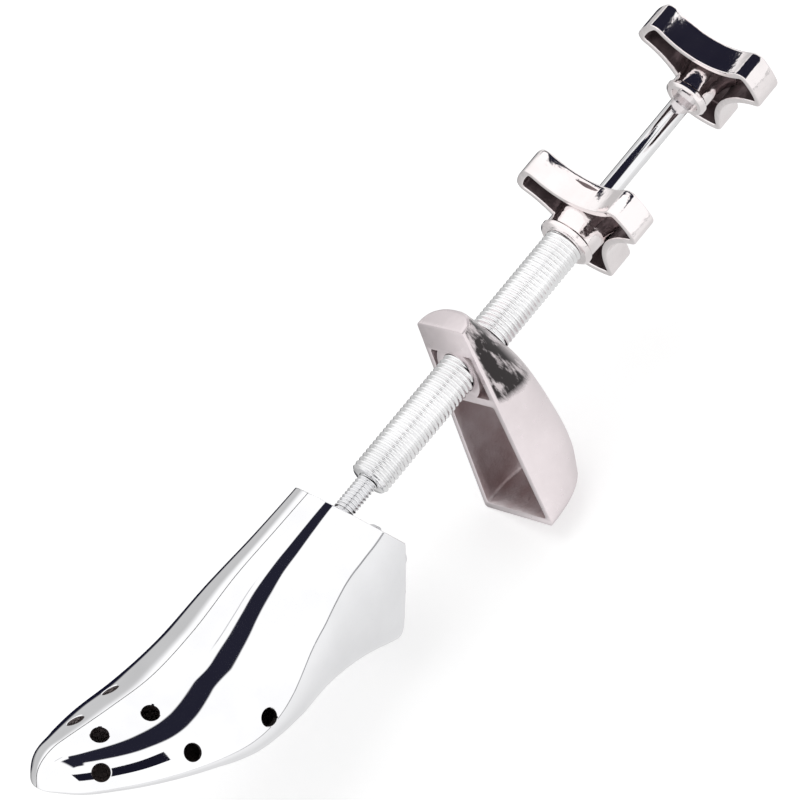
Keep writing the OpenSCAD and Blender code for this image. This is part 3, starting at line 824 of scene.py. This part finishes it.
def outer_skin():
    """The closed outer skin of the whole last, with its rear faces, and its shading before they are cut."""
    s = bpy.context.scene.last_sizes
    bm = last_loft(0, s.points, SKIN_STEP)
    for _ in range(SMOOTHINGS):
        bmesh.ops.smooth_vert(bm, verts=bm.verts, factor=0.5, use_axis_y=True, use_axis_z=True)
    bmesh.ops.transform(bm, matrix=sole_frame(), verts=bm.verts)
    skin = SkinNormals(bm.copy())
    for place, outward in rear_planes():
        trim(bm, place, outward)
    rear = rear_x() + RIM_REACH
    rims = [e for e in bm.edges if e.verts[0].co.x < rear and e.calc_face_angle(0) > math.radians(30)]
    bmesh.ops.bevel(bm, geom=rims, offset=s.rim, segments=3, affect="EDGES", profile=0.5, material=-1)
    trim(bm, (0, s.seam / 2, 0), (0, -1, 0))
    return bm, skin


def inner_hollow():
    """The space inside the last, open past the seam."""
    s = bpy.context.scene.last_sizes
    hollow = last_loft(s.wall, HOLLOW_POINTS, HOLLOW_STEP)
    bmesh.ops.transform(hollow, matrix=sole_frame(), verts=hollow.verts)
    for place, outward in rear_planes(s.wall):
        trim(hollow, place, outward)
    along_sole = sole_frame().to_3x3() @ Vector((1, 0, 0))
    trim(hollow, sole_frame() @ Vector((s.long - s.wall - MM, 0, 0)), along_sole)
    trim(hollow, (0, -2 * MM, 0), (0, -1, 0))
    return hollow


def near_half(skin_material, inside, bore):
    """The near half of the last: a hollow casting with plug holes, and its smooth skin."""
    s = bpy.context.scene.last_sizes
    bm, skin = outer_skin()
    half = make("last_left_shell", bm, material=skin_material)
    crisp(half)
    cut(half, inner_hollow(), material=inside)
    for share, angle in PLUG_HOLES:
        place = plug_frame(share * s.long, angle)
        cut(half, rod_between(s.plug_hole / 2, -HOLE_DEPTH, MM, steps=HOLE_STEPS), place, bore)
        cut(half, countersink(s.plug_hole / 2, s.rim), place, skin_material)
    along = on_shaft() @ Matrix.Rotation(math.pi / 2, 4, "Y")
    cut(half, rod_between(ROD_WAY, -8 * MM, 20 * MM), along, inside)
    start, end, wide = HINGE_SLOT
    cut(half, brick((start, -wide / 2, -30 * MM), (end, wide / 2, 4 * MM)), facet_frame(), inside)
    tidy(half)
    for face in half.data.polygons:
        if face.normal.y < -0.99 and face.center.y < s.seam:
            face.material_index = 1
    return half, skin


def plug_frame(x, angle):
    """Frame of a plug hole: Z out of the skin."""
    d = 0.5 * MM
    lengthwise = skin_point(x + d, angle) - skin_point(x - d, angle)
    around = skin_point(x, angle + 0.5) - skin_point(x, angle - 0.5)
    outward = lengthwise.cross(around).normalized()
    if outward.y < 0:
        outward = -outward
    turn = outward.to_track_quat("Z", "Y").to_matrix().to_4x4()
    return sole_frame() @ Matrix.Translation(skin_point(x, angle)) @ turn


def countersink(radius, width):
    """A cone that chamfers a hole's mouth by a width."""
    low = -0.6 * MM
    high = 0.5 * MM
    profile = [(0, low), (radius + width + low, low), (radius + width + high, high), (0, high)]
    return lathe(profile, HOLE_STEPS)


def far_half(near, skin):
    """The far half, mirrored from the near one."""
    bm = bmesh.new()
    bm.from_mesh(near.data)
    bmesh.ops.scale(bm, vec=(1, -1, 1), verts=bm.verts)
    bmesh.ops.reverse_faces(bm, faces=bm.faces)
    far = make("last_right_shell", bm)
    for material in near.data.materials:
        far.data.materials.append(material)
    crisp(far)
    carry_normals(far, skin, mirrored=True)
    return far


class LastHalves(bpy.types.Operator):
    """Builds the two chromed halves of the last"""
    bl_idname = "stretcher.last_halves"
    bl_label = "Last halves"

    def execute(self, context):
        near, skin = near_half(mirror_chrome(), bare_casting(), plug_bore())
        crisp(near)
        far = far_half(near, skin)
        carry_normals(near, skin)
        for obj, node, body in ((near, "last_left", "half_left"), (far, "last_right", "half_right")):
            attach(obj, body)
            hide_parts(node)
        return {"FINISHED"}


# ---------------------------------------------------------------------------------------------
# Leaf screws
# ---------------------------------------------------------------------------------------------

SCREWS_DOWN = (8.4 * MM, 29.8 * MM)
SCREW_SHANK = (2 * MM, 5 * MM)
RECESS_ARM = (0.9 * MM, 4.6 * MM, 1.3 * MM)
RECESS_TURN = 0.3


def screw_head(radius, rise):
    """A pan head on its shank; its underside lies at Z = 0."""
    shank, depth = SCREW_SHANK
    chamfer = 0.3 * MM
    dome = [(radius * math.sin(a), 0.35 * rise + 0.65 * rise * math.cos(a))
            for a in (math.radians(90 * k / 12) for k in range(12, -1, -1))]
    foot = [(0, -depth), (shank, -depth), (shank, 0), (radius - chamfer, 0), (radius, chamfer)]
    return lathe(foot + dome, 48)


class LeafScrews(bpy.types.Operator):
    """Builds the domed screws that hold the hinge leaves"""
    bl_idname = "stretcher.leaf_screws"
    bl_label = "Leaf screws"

    def execute(self, context):
        s = context.scene.shaft_sizes
        material = bright_screw()
        wide, long, deep = RECESS_ARM
        for side, name, body in ((1, "left", "half_left"), (-1, "right", "half_right")):
            parts = bmesh.new()
            for down in SCREWS_DOWN:
                head = make("head", screw_head(s.screw_head / 2, s.screw_rise), material=material)
                for turn in (RECESS_TURN, RECESS_TURN + math.pi / 2):
                    arm = brick((-wide / 2, -long / 2, s.screw_rise - deep),
                                (wide / 2, long / 2, s.screw_rise + MM))
                    # The recess's walls take the dark steel: painted shade in the cross recess.
                    cut(head, arm, Matrix.Rotation(turn, 4, "Z"), dark_steel())
                place = facet_frame(down) @ Matrix.Translation((0, -side * s.screw_place, s.leaf))
                head.data.transform(place)
                parts.from_mesh(head.data)
                bpy.data.objects.remove(head)
            obj = make(f"leaf_screw_heads_{name}", parts, material=material)
            obj.data.materials.append(dark_steel())
            crisp(obj, 40)
            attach(obj, body)
            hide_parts(f"leaf_screws_{name}")
        return {"FINISHED"}


# ---------------------------------------------------------------------------------------------
# Shaft
# ---------------------------------------------------------------------------------------------

THREAD_ROWS = 11
THREAD_SHAPE = 0.8
TUBE_BORE = 4.1 * MM
ROD_SHOULDER = 33.1 * MM
ROD_TIP = 3 * MM


def threaded(x0, x1, radius, depth, pitch, start, end, around, bevel=0.0):
    """A shaft along X: a wrapped grid, with a right-handed thread between start and end."""
    count = round((x1 - x0) / pitch * THREAD_ROWS)
    rings = []
    turns = np.arange(around) / around
    for k in range(count + 1):
        x = x0 + (x1 - x0) * k / count
        phase = (x / pitch - turns) % 1.0
        crest = (0.5 + 0.5 * np.cos(2 * np.pi * phase)) ** THREAD_SHAPE
        fade = min(max((x - start) / pitch, 0), 1) * min(max((end - x) / pitch, 0), 1)
        r = radius - depth * (1 - crest) * fade
        if bevel:
            r = np.minimum(r, radius - bevel + (x1 - x))
        rings.append(np.column_stack([np.full(around, x), r * np.cos(2 * np.pi * turns),
                                      r * np.sin(2 * np.pi * turns)]))
    return loft(rings)


class LengthTube(bpy.types.Operator):
    """Builds the threaded tube"""
    bl_idname = "stretcher.length_tube"
    bl_label = "Threaded tube"

    def execute(self, context):
        s = context.scene.shaft_sizes
        low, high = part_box("length_tube")
        radius = (high.y - low.y) / 2
        bm = threaded(low.x, high.x, radius, s.tube_depth, s.tube_pitch, low.x - s.tube_pitch,
                      high.x + s.tube_pitch, 84, bevel=1.0 * MM)
        tube = make("threaded_tube", bm, material=bright_zinc())
        bore = rod_between(TUBE_BORE, low.x - MM, high.x + MM)
        # The bore's wall takes the dark steel: painted shade inside the tube.
        cut(tube, bore, Matrix.Rotation(math.pi / 2, 4, "Y"), dark_steel())
        crisp(tube, 50)
        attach(tube, "tube")
        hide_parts("length_tube")
        return {"FINISHED"}


class WidthRod(bpy.types.Operator):
    """Builds the inner rod: threaded in front and polished behind"""
    bl_idname = "stretcher.width_rod"
    bl_label = "Inner rod"

    def execute(self, context):
        s = context.scene.shaft_sizes
        low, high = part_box("width_rod")
        radius = (high.y - low.y) / 2
        shoulder = rear_x() + ROD_SHOULDER
        start = rear_x() - s.rod_thread_back
        chamfer = 0.5 * MM
        blank = lathe([(0, low.x), (radius - chamfer, low.x), (radius, low.x + chamfer), (radius, start),
                       (0, start)], 96)
        rod = make("inner_rod", blank, Matrix.Rotation(math.pi / 2, 4, "Y"), rod_steel())
        front = threaded(start - 0.1 * MM, shoulder, radius - 0.01 * MM, s.rod_depth, s.rod_pitch, start,
                         shoulder + s.rod_pitch, 56)
        join(rod, front)
        chamfer = 0.4 * MM
        tip = lathe([(0, shoulder - MM), (ROD_TIP, shoulder - MM), (ROD_TIP, high.x - chamfer),
                     (ROD_TIP - chamfer, high.x), (0, high.x)], 64)
        join(rod, tip, Matrix.Rotation(math.pi / 2, 4, "Y"))
        crisp(rod, 50)
        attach(rod, "rod")
        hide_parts("width_rod")
        return {"FINISHED"}


# ---------------------------------------------------------------------------------------------
# Knobs
# ---------------------------------------------------------------------------------------------

def arc(centre, radius, start, end, count):
    """Points on an arc, angles in radians, without its last point."""
    return [(centre[0] + radius * math.cos(start + (end - start) * i / count),
             centre[1] + radius * math.sin(start + (end - start) * i / count)) for i in range(count)]


def knob_outline(inset):
    """Outline of a knob drawn in by an inset: blunt lobe tips, rounded corners and hollow flanks."""
    s = bpy.context.scene.knob_sizes
    flank_at = s.flank + s.flank_arc
    corner_at = s.across / 2 - s.corner
    reach = s.flank_arc + s.corner
    corner_turn = math.acos((corner_at ** 2 + flank_at ** 2 - reach ** 2) / (2 * corner_at * flank_at))
    half = math.asin(corner_at * math.sin(corner_turn) / reach)
    third = math.radians(60)
    tip = third - corner_turn
    points = []
    for lobe in range(3):
        base = lobe * 2 * third
        before = (corner_at * math.cos(base - tip), corner_at * math.sin(base - tip))
        after = (corner_at * math.cos(base + tip), corner_at * math.sin(base + tip))
        hollow = (flank_at * math.cos(base + third), flank_at * math.sin(base + third))
        points += arc(before, s.corner - inset, base - third - half, base - tip, 10)
        points += arc((0, 0), s.across / 2 - inset, base - tip, base + tip, 10)
        points += arc(after, s.corner - inset, base + tip, base + third + half, 10)
        points += arc(hollow, s.flank_arc + inset, base + math.pi + third + half,
                      base + math.pi + third - half, 32)
    return points


def knob_cup():
    """The knob's back and rim walls, with rounded edges and a filleted pocket."""
    s = bpy.context.scene.knob_sizes
    floor = s.back - s.deep
    steps = []
    for k in range(6):
        a = math.radians(90 * k / 5)
        steps.append((s.edge * (1 - math.sin(a)), s.edge * (1 - math.cos(a)) - s.deep))
    for k in range(5):
        a = math.radians(90 * k / 4)
        steps.append((s.rim_edge * (1 - math.cos(a)), s.rim_edge * (math.sin(a) - 1)))
    for k in range(4, -1, -1):
        a = math.radians(90 * k / 4)
        steps.append((s.wall - s.rim_edge * (1 - math.cos(a)), s.rim_edge * (math.sin(a) - 1)))
    for k in range(5):
        a = math.radians(90 * k / 4)
        steps.append((s.wall + s.fillet * (1 - math.cos(a)), floor + s.fillet * (1 - math.sin(a))))
    return loft([[(x, y, z) for x, y in knob_outline(inset)] for inset, z in steps])


def knob_hub(radius):
    """The flared hub with a ring round its front end."""
    s = bpy.context.scene.knob_sizes
    sunk = 0.5 * MM
    floor = s.back - s.deep - sunk
    flare = s.flare + 1.4 * MM
    rise = s.hub * 0.55 - floor - 1.5 * MM
    ring = radius + 0.7 * MM
    edge = 0.2 * MM
    front = [(radius, 3.1), (ring - edge, 2.6), (ring, 2.3), (ring, 1.0), (ring - edge, 0.7),
             (radius - edge / 2, 0.2), (radius - 2 * edge, 0), (0, 0)]
    profile = [(0, floor), (radius + flare, floor), (radius + flare, floor + sunk)]
    for k in range(9):
        a = math.radians(90 * k / 8)
        profile.append((radius + flare * (1 - math.sin(a)), floor + sunk + rise * (1 - math.cos(a))))
    profile += [(r, s.hub - behind * MM) for r, behind in front]
    return lathe(profile, 128)


BORE_REACH = 14 * MM
RECESS_DEPTH = 1.6 * MM
RECESS_CHAMFER = 0.3 * MM


def knob(name, node, body, hub_radius, bore, recess, turn):
    """A three-lobed knob on its shaft, with its bore and its recess."""
    s = bpy.context.scene.knob_sizes
    low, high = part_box(node)
    obj = make(name, knob_cup(), material=polished_nickel())
    join(obj, knob_hub(hub_radius))
    cut(obj, rod_between(bore, -BORE_REACH, BORE_REACH, steps=96))
    if recess:
        cut(obj, rod_between(recess, s.hub - RECESS_DEPTH, s.hub, chamfer=RECESS_CHAMFER, steps=96))
    tidy(obj)
    obj.data.transform(knob_frame(high.x - s.hub, turn))
    obj.data.materials.append(knob_pocket())
    paint_pocket(obj, high.x - s.hub, hub_radius)
    crisp(obj, 32)
    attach(obj, body)
    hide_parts(node)
    return obj


def paint_pocket(obj, rim_x, hub_radius):
    """Gives the pocket's floor and inner walls their darker plating."""
    s = bpy.context.scene.knob_sizes
    for face in obj.data.polygons:
        c = face.center
        deep = rim_x - c.x
        r = math.hypot(c.y, c.z)
        inside = 0.6 * MM < deep < s.deep - s.back + 0.1 * MM
        inward = face.normal.y * c.y + face.normal.z * c.z < 0.2 * r
        if inside and r > hub_radius + 1.2 * MM and (inward or face.normal.x > 0.6):
            face.material_index = 1


class Knobs(bpy.types.Operator):
    """Builds the end knob and the tube's knob"""
    bl_idname = "stretcher.knobs"
    bl_label = "Knobs"

    def execute(self, context):
        knob("end_knob", "width_knob", "rod", hub_radius=8 * MM, bore=4 * MM, recess=5.8 * MM, turn=130)
        knob("tube_knob", "length_knob", "tube", hub_radius=10.5 * MM, bore=7.8 * MM, recess=0, turn=140)
        return {"FINISHED"}


# ---------------------------------------------------------------------------------------------
# Heel block
# ---------------------------------------------------------------------------------------------

BACK_CURVE = ((0, 0.49), (0.235, 1.01), (0.42, 1.33), (0.66, 1.55), (0.87, 1.62), (1, 1.45))
BLOCK_POWER = 2.4
TUBE_WAY = 7.86 * MM
WEB_TOP = 1.5 * MM
EDGE_STEPS = 5


def block_ring(v, inset, ahead, count=40):
    """Outline of the block at a height, drawn in by an inset, with its front moved ahead."""
    s = bpy.context.scene.block_sizes
    fall = (s.top - v) / (s.top + s.drop)
    half = (s.top_w + (s.bottom_w - s.top_w) * fall) / 2 - inset
    front = -s.front - v * math.tan(s.lean)
    deep = s.deep * smooth_curve(BACK_CURVE, fall) - inset
    sweep = [math.radians(180 * k / count - 90) for k in range(count + 1)]
    back = [(front - deep * max(math.cos(a), 0) ** (2 / BLOCK_POWER),
             half * math.copysign(abs(math.sin(a)) ** (2 / BLOCK_POWER), a), v) for a in sweep]
    return [(front + ahead, -half, v)] + back + [(front + ahead, half, v)]


def block_loft(low, high, inset, radius, steps, count, ahead):
    """The block's form between two heights, drawn in by an inset and rounded at both ends."""
    levels = []
    for k in range(steps + 1):
        a = math.radians(90 * k / steps)
        levels.append((radius * (1 - math.cos(a)), radius * (1 - math.sin(a))))
    rings = [(low + rise, inset + narrow) for rise, narrow in levels]
    rings += [(low + radius + (high - low - 2 * radius) * k / count, inset) for k in range(1, count)]
    rings += [(high - rise, inset + narrow) for rise, narrow in reversed(levels)]
    return loft([block_ring(v, drawn, ahead) for v, drawn in rings])


def block_body():
    """The outside of the block, with rounded top and bottom edges."""
    s = bpy.context.scene.block_sizes
    return block_loft(-s.drop, s.top, 0, s.edge, EDGE_STEPS, 46, 0)


def block_hollow(low, high):
    """A hollow between two heights, open to the front, with rounded corners."""
    return block_loft(low, high, bpy.context.scene.block_sizes.wall, 1.2 * MM, 3, 20, 8 * MM)


class HeelBlock(bpy.types.Operator):
    """Builds the hollow heel block"""
    bl_idname = "stretcher.heel_block"
    bl_label = "Heel block"

    def execute(self, context):
        s = context.scene.block_sizes
        inside = block_inside()
        web_top = WEB_TOP - s.boss / 2
        start = -s.front - 2 * s.deep
        end = -s.front + 2 * s.deep
        along = Matrix.Rotation(math.pi / 2, 4, "Y")
        block = make("heel_casting", block_body(), material=satin_nickel())
        cut(block, block_hollow(-s.drop + s.wall, web_top - s.web), material=inside)
        pockets = make("tool", block_hollow(web_top, s.boss / 2 - s.web), material=inside)
        cut(pockets, rod_between(s.boss / 2, start, end, steps=96), along, inside)
        boolean(block, pockets)
        # The tube's way takes the dark steel: painted shade in the bore.
        cut(block, rod_between(TUBE_WAY, start, end, steps=96), along, dark_steel())
        tidy(block)
        round_edges(block, 0.45 * MM, angle=45)
        block.data.transform(block_frame())
        crisp(block, 40)
        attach(block, "heel")
        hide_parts("heel_block")
        return {"FINISHED"}


# ---------------------------------------------------------------------------------------------
# Carried-over solids
# ---------------------------------------------------------------------------------------------

class CarriedPieces(bpy.types.Operator):
    """Gives the solids that stay as they are their finishes"""
    bl_idname = "stretcher.carried_pieces"
    bl_label = "Carried pieces"

    def execute(self, context):
        finishes = {
            leaf_steel: ("hinge_leaf_left", "hinge_leaf_right", "hinge_pin"),
            plain_steel: ("rod_yoke", "cone_washer", "spring_post_left", "spring_post_right",
                          "width_knob_pin", "return_spring"),
            turned_brass: ("wedge_cone",),
            dark_steel: ("cone_clip", "length_knob_screw"),
        }
        for finish, nodes in finishes.items():
            material = finish()
            for node in nodes:
                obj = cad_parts[node]
                for slot in obj.material_slots:
                    slot.link = "OBJECT"
                    slot.material = material
        return {"FINISHED"}


# ---------------------------------------------------------------------------------------------
# Stage
# ---------------------------------------------------------------------------------------------

LAMP_PLACE = (0.25, -0.25, 1.5)
LAMP_SIZE = 1.1
MIDDLE = Vector((0.2, 0, 0))
FLOOR_GAP = 0.2 * MM
FLOOR_GLOW = 0.42
EYE_RIGHT = (-0.6091, 0.6990, -0.3746)
EYE_BACK = (0.3072, 0.6435, 0.7011)
NAVY = (0.010, 0.010, 0.020)
DARK_NAVY = (0.015, 0.015, 0.030)
WHITE = (1.25, 1.22, 1.22)
CARDS = {
    "knob_flag": ((-0.030, 0.030, 0.085), (1, 0, 0), (0, 0, 1), (0.120, 0.280), DARK_NAVY),
    "knob_bounce": ((0.058, 0.020, 0.085), (1, 0, 0), (0, 0, 1), (0.050, 0.160), WHITE),
    "toe_flag": ((0.354, 0.061, 0.055), (-0.936, 0.18, -0.30), (-0.39, 0.68, 0.62), (0.084, 0.018), NAVY),
}


class StudioStage(bpy.types.Operator):
    """Sets up the floor, the cards, the light and the camera"""
    bl_idname = "stretcher.studio_stage"
    bl_label = "Studio"

    def execute(self, context):
        s = context.scene.studio
        bm = bmesh.new()
        bmesh.ops.create_grid(bm, x_segments=2, y_segments=2, size=s.floor / 2)
        level = Vector((0, 0, CAD_BOX[0][2] - FLOOR_GAP))
        floor = make("floor", bm, Matrix.Translation(MIDDLE + level), floor_paint())
        floor.visible_glossy = False
        for name, values in CARDS.items():
            card(name, *values)
        lamp = bpy.data.lights.new("overhead", "AREA")
        lamp.energy = s.lamp
        lamp.size = LAMP_SIZE
        lamp_obj = bpy.data.objects.new("overhead", lamp)
        lamp_obj.location = LAMP_PLACE
        lamp_obj.rotation_euler = (MIDDLE - lamp_obj.location).to_track_quat("-Z", "Y").to_euler()
        lamp_obj.visible_glossy = False
        context.collection.objects.link(lamp_obj)
        studio_world()
        camera()
        context.scene.view_settings.view_transform = "Standard"
        return {"FINISHED"}


def card(name, place, along, facing, sizes, glow):
    """A card seen only in reflections: its centre, long direction, facing direction, sides and light."""
    bm = bmesh.new()
    bmesh.ops.create_grid(bm, x_segments=1, y_segments=1, size=0.5)
    bmesh.ops.scale(bm, vec=(*sizes, 1), verts=bm.verts)
    cloth = Metal(f"{name}_cloth")
    cloth.set(rough=1.0, colour=(0, 0, 0))
    cloth.shader.inputs["Specular IOR Level"].default_value = 0
    cloth.shader.inputs["Emission Strength"].default_value = 1.0
    cloth.link(cloth.mix(cloth.noise(40, 2), shade(glow, 0.97), glow), cloth.shader.inputs["Emission Color"])
    along = Vector(along).normalized()
    across = Vector(facing).cross(along).normalized()
    turn = Matrix((along, across, along.cross(across))).transposed().to_4x4()
    obj = make(name, bm, Matrix.Translation(place) @ turn, cloth.material)
    obj.visible_camera = False
    obj.visible_diffuse = False
    obj.visible_shadow = False


def floor_paint():
    """Pale floor, lifted to white for the camera alone, so that it keeps the object's shadow."""
    n = Metal("floor_paint")
    n.tree.nodes.remove(n.shader)
    diffuse = n.add("BsdfDiffuse")
    n.link(n.mix(n.cloudy(9, 3, 0, 1), (0.83, 0.83, 0.83), (0.80, 0.80, 0.80)), diffuse.inputs["Color"])
    glow = n.add("Emission")
    seen = n.add("LightPath").outputs["Is Camera Ray"]
    n.link(n.math("MULTIPLY", seen, FLOOR_GLOW), glow.inputs["Strength"])
    both = n.add("AddShader")
    n.link(diffuse.outputs[0], both.inputs[0])
    n.link(glow.outputs[0], both.inputs[1])
    n.link(both.outputs[0], n.out.inputs["Surface"])
    return n.material


def camera():
    """The camera at the photograph's angle."""
    s = bpy.context.scene.studio
    right = Vector(EYE_RIGHT).normalized()
    back = Vector(EYE_BACK).normalized()
    up = back.cross(right).normalized()
    right = up.cross(back)
    lens = bpy.data.cameras.new("camera")
    lens.angle = s.field
    lens.clip_start = 0.05
    lens.clip_end = 20
    obj = bpy.data.objects.new("camera", lens)
    obj.matrix_world = Matrix.Translation(s.eye) @ Matrix((right, up, back)).transposed().to_4x4()
    bpy.context.collection.objects.link(obj)
    bpy.context.scene.camera = obj


WALL_LEVEL = 1.15
BAND_DEPTH = 0.985
BAND_BLUE = 0.014
TABLE_RIM = -0.380
AWAY = Vector((-0.307, -0.6435, -0.701)).normalized()
FAR_SIDE = Vector((0.05, -0.75, 0.66)).normalized()


def studio_level(n, ray):
    """The studio's light and its dark bands in each direction: white walls over a grey table."""
    parts = n.add("SeparateXYZ")
    n.link(ray, parts.inputs[0])
    x, y, z = parts.outputs

    def edge(value, start, end, before=0, after=1):
        return n.span(value, start, end, before, after, smooth=True)

    def line(value, centre, inner, outer, strength=1):
        gap = n.math("ABSOLUTE", n.math("SUBTRACT", value, centre))
        return edge(gap, inner, outer, strength, 0)

    table = n.product(edge(z, TABLE_RIM + 0.005, TABLE_RIM - 0.005), edge(z, -0.85, TABLE_RIM, 0.34, 0.17))
    far_wall = n.product(edge(y, -0.95, -0.35, 0.55, 0), edge(z, 0.1, 0.5, 1, 0))
    light = n.math("SUBTRACT", n.math("SUBTRACT", WALL_LEVEL, table), far_wall)
    centre = edge(x, -0.43, -0.32, 0.38, 0.45)
    strip = n.product(line(y, centre, 0.120, 0.145), edge(z, 0.35, 0.45), edge(x, -0.10, 0.02, 1, 0))
    hair = n.product(line(y, 0.20, 0.004, 0.014, 0.5), edge(x, -0.30, -0.2), edge(x, 0, 0.1, 1, 0),
                     edge(z, 0.5, 0.6))
    rim = n.product(line(z, TABLE_RIM, 0.006, 0.014, 0.7), edge(y, 0.65, 0.75))
    outline = n.product(edge(n.dot(ray, AWAY), 0.90, 0.94), edge(n.dot(ray, FAR_SIDE), 0.02, 0.05))
    dark = strip
    for band in (hair, rim, outline):
        dark = n.math("MAXIMUM", dark, band)
    kept = n.math("SUBTRACT", 1.0, n.math("MULTIPLY", dark, BAND_DEPTH))
    return n.math("MULTIPLY", light, kept), dark


def studio_world():
    """White to the camera, even light on the object, and the studio in reflections."""
    world = bpy.data.worlds.new("studio")
    bpy.context.scene.world = world
    world.use_nodes = True
    n = Tree(world.node_tree)
    level, dark = studio_level(n, n.add("TexCoord").outputs["Generated"])
    path = n.add("LightPath")
    sky = n.add("CombineColor")
    n.link(level, sky.inputs[0])
    n.link(level, sky.inputs[1])
    n.link(n.math("ADD", level, n.math("MULTIPLY", dark, BAND_BLUE)), sky.inputs[2])
    gloss = n.add("Background")
    n.link(sky.outputs[0], gloss.inputs["Color"])
    even = n.add("Background")
    even.inputs["Color"].default_value = (1, 1, 1, 1)
    n.link(n.span(path.outputs["Is Camera Ray"], 0, 1, 0.72, 1.0), even.inputs["Strength"])
    mixed = n.add("MixShader")
    n.link(path.outputs["Is Glossy Ray"], mixed.inputs[0])
    n.link(even.outputs[0], mixed.inputs[1])
    n.link(gloss.outputs[0], mixed.inputs[2])
    n.link(mixed.outputs[0], n.add("OutputWorld").inputs["Surface"])


# ---------------------------------------------------------------------------------------------
# Add-on
# ---------------------------------------------------------------------------------------------

STEPS = (LastHalves, LeafScrews, LengthTube, WidthRod, Knobs, HeelBlock, CarriedPieces, StudioStage)


class StretcherPanel(bpy.types.Panel):
    """Lists the steps that build the stretcher"""
    bl_idname = "VIEW3D_PT_stretcher"
    bl_label = "Shoe stretcher"
    bl_space_type = "VIEW_3D"
    bl_region_type = "UI"
    bl_category = "Stretcher"

    def draw(self, context):
        for step in STEPS:
            self.layout.operator(step.bl_idname)


GROUPS = {"last_sizes": LastSizes, "shaft_sizes": ShaftSizes, "knob_sizes": KnobSizes,
          "block_sizes": BlockSizes, "finishes": Finishes, "studio": Studio}


def register():
    for name, group in GROUPS.items():
        bpy.utils.register_class(group)
        setattr(bpy.types.Scene, name, PointerProperty(type=group))
    for item in (*STEPS, StretcherPanel):
        bpy.utils.register_class(item)


def unregister():
    for item in (StretcherPanel, *reversed(STEPS)):
        bpy.utils.unregister_class(item)
    for name, group in reversed(GROUPS.items()):
        delattr(bpy.types.Scene, name)
        bpy.utils.unregister_class(group)


def main():
    register()
    for step in STEPS:
        group, name = step.bl_idname.split(".")
        getattr(getattr(bpy.ops, group), name)()


if __name__ == "__main__":
    main()
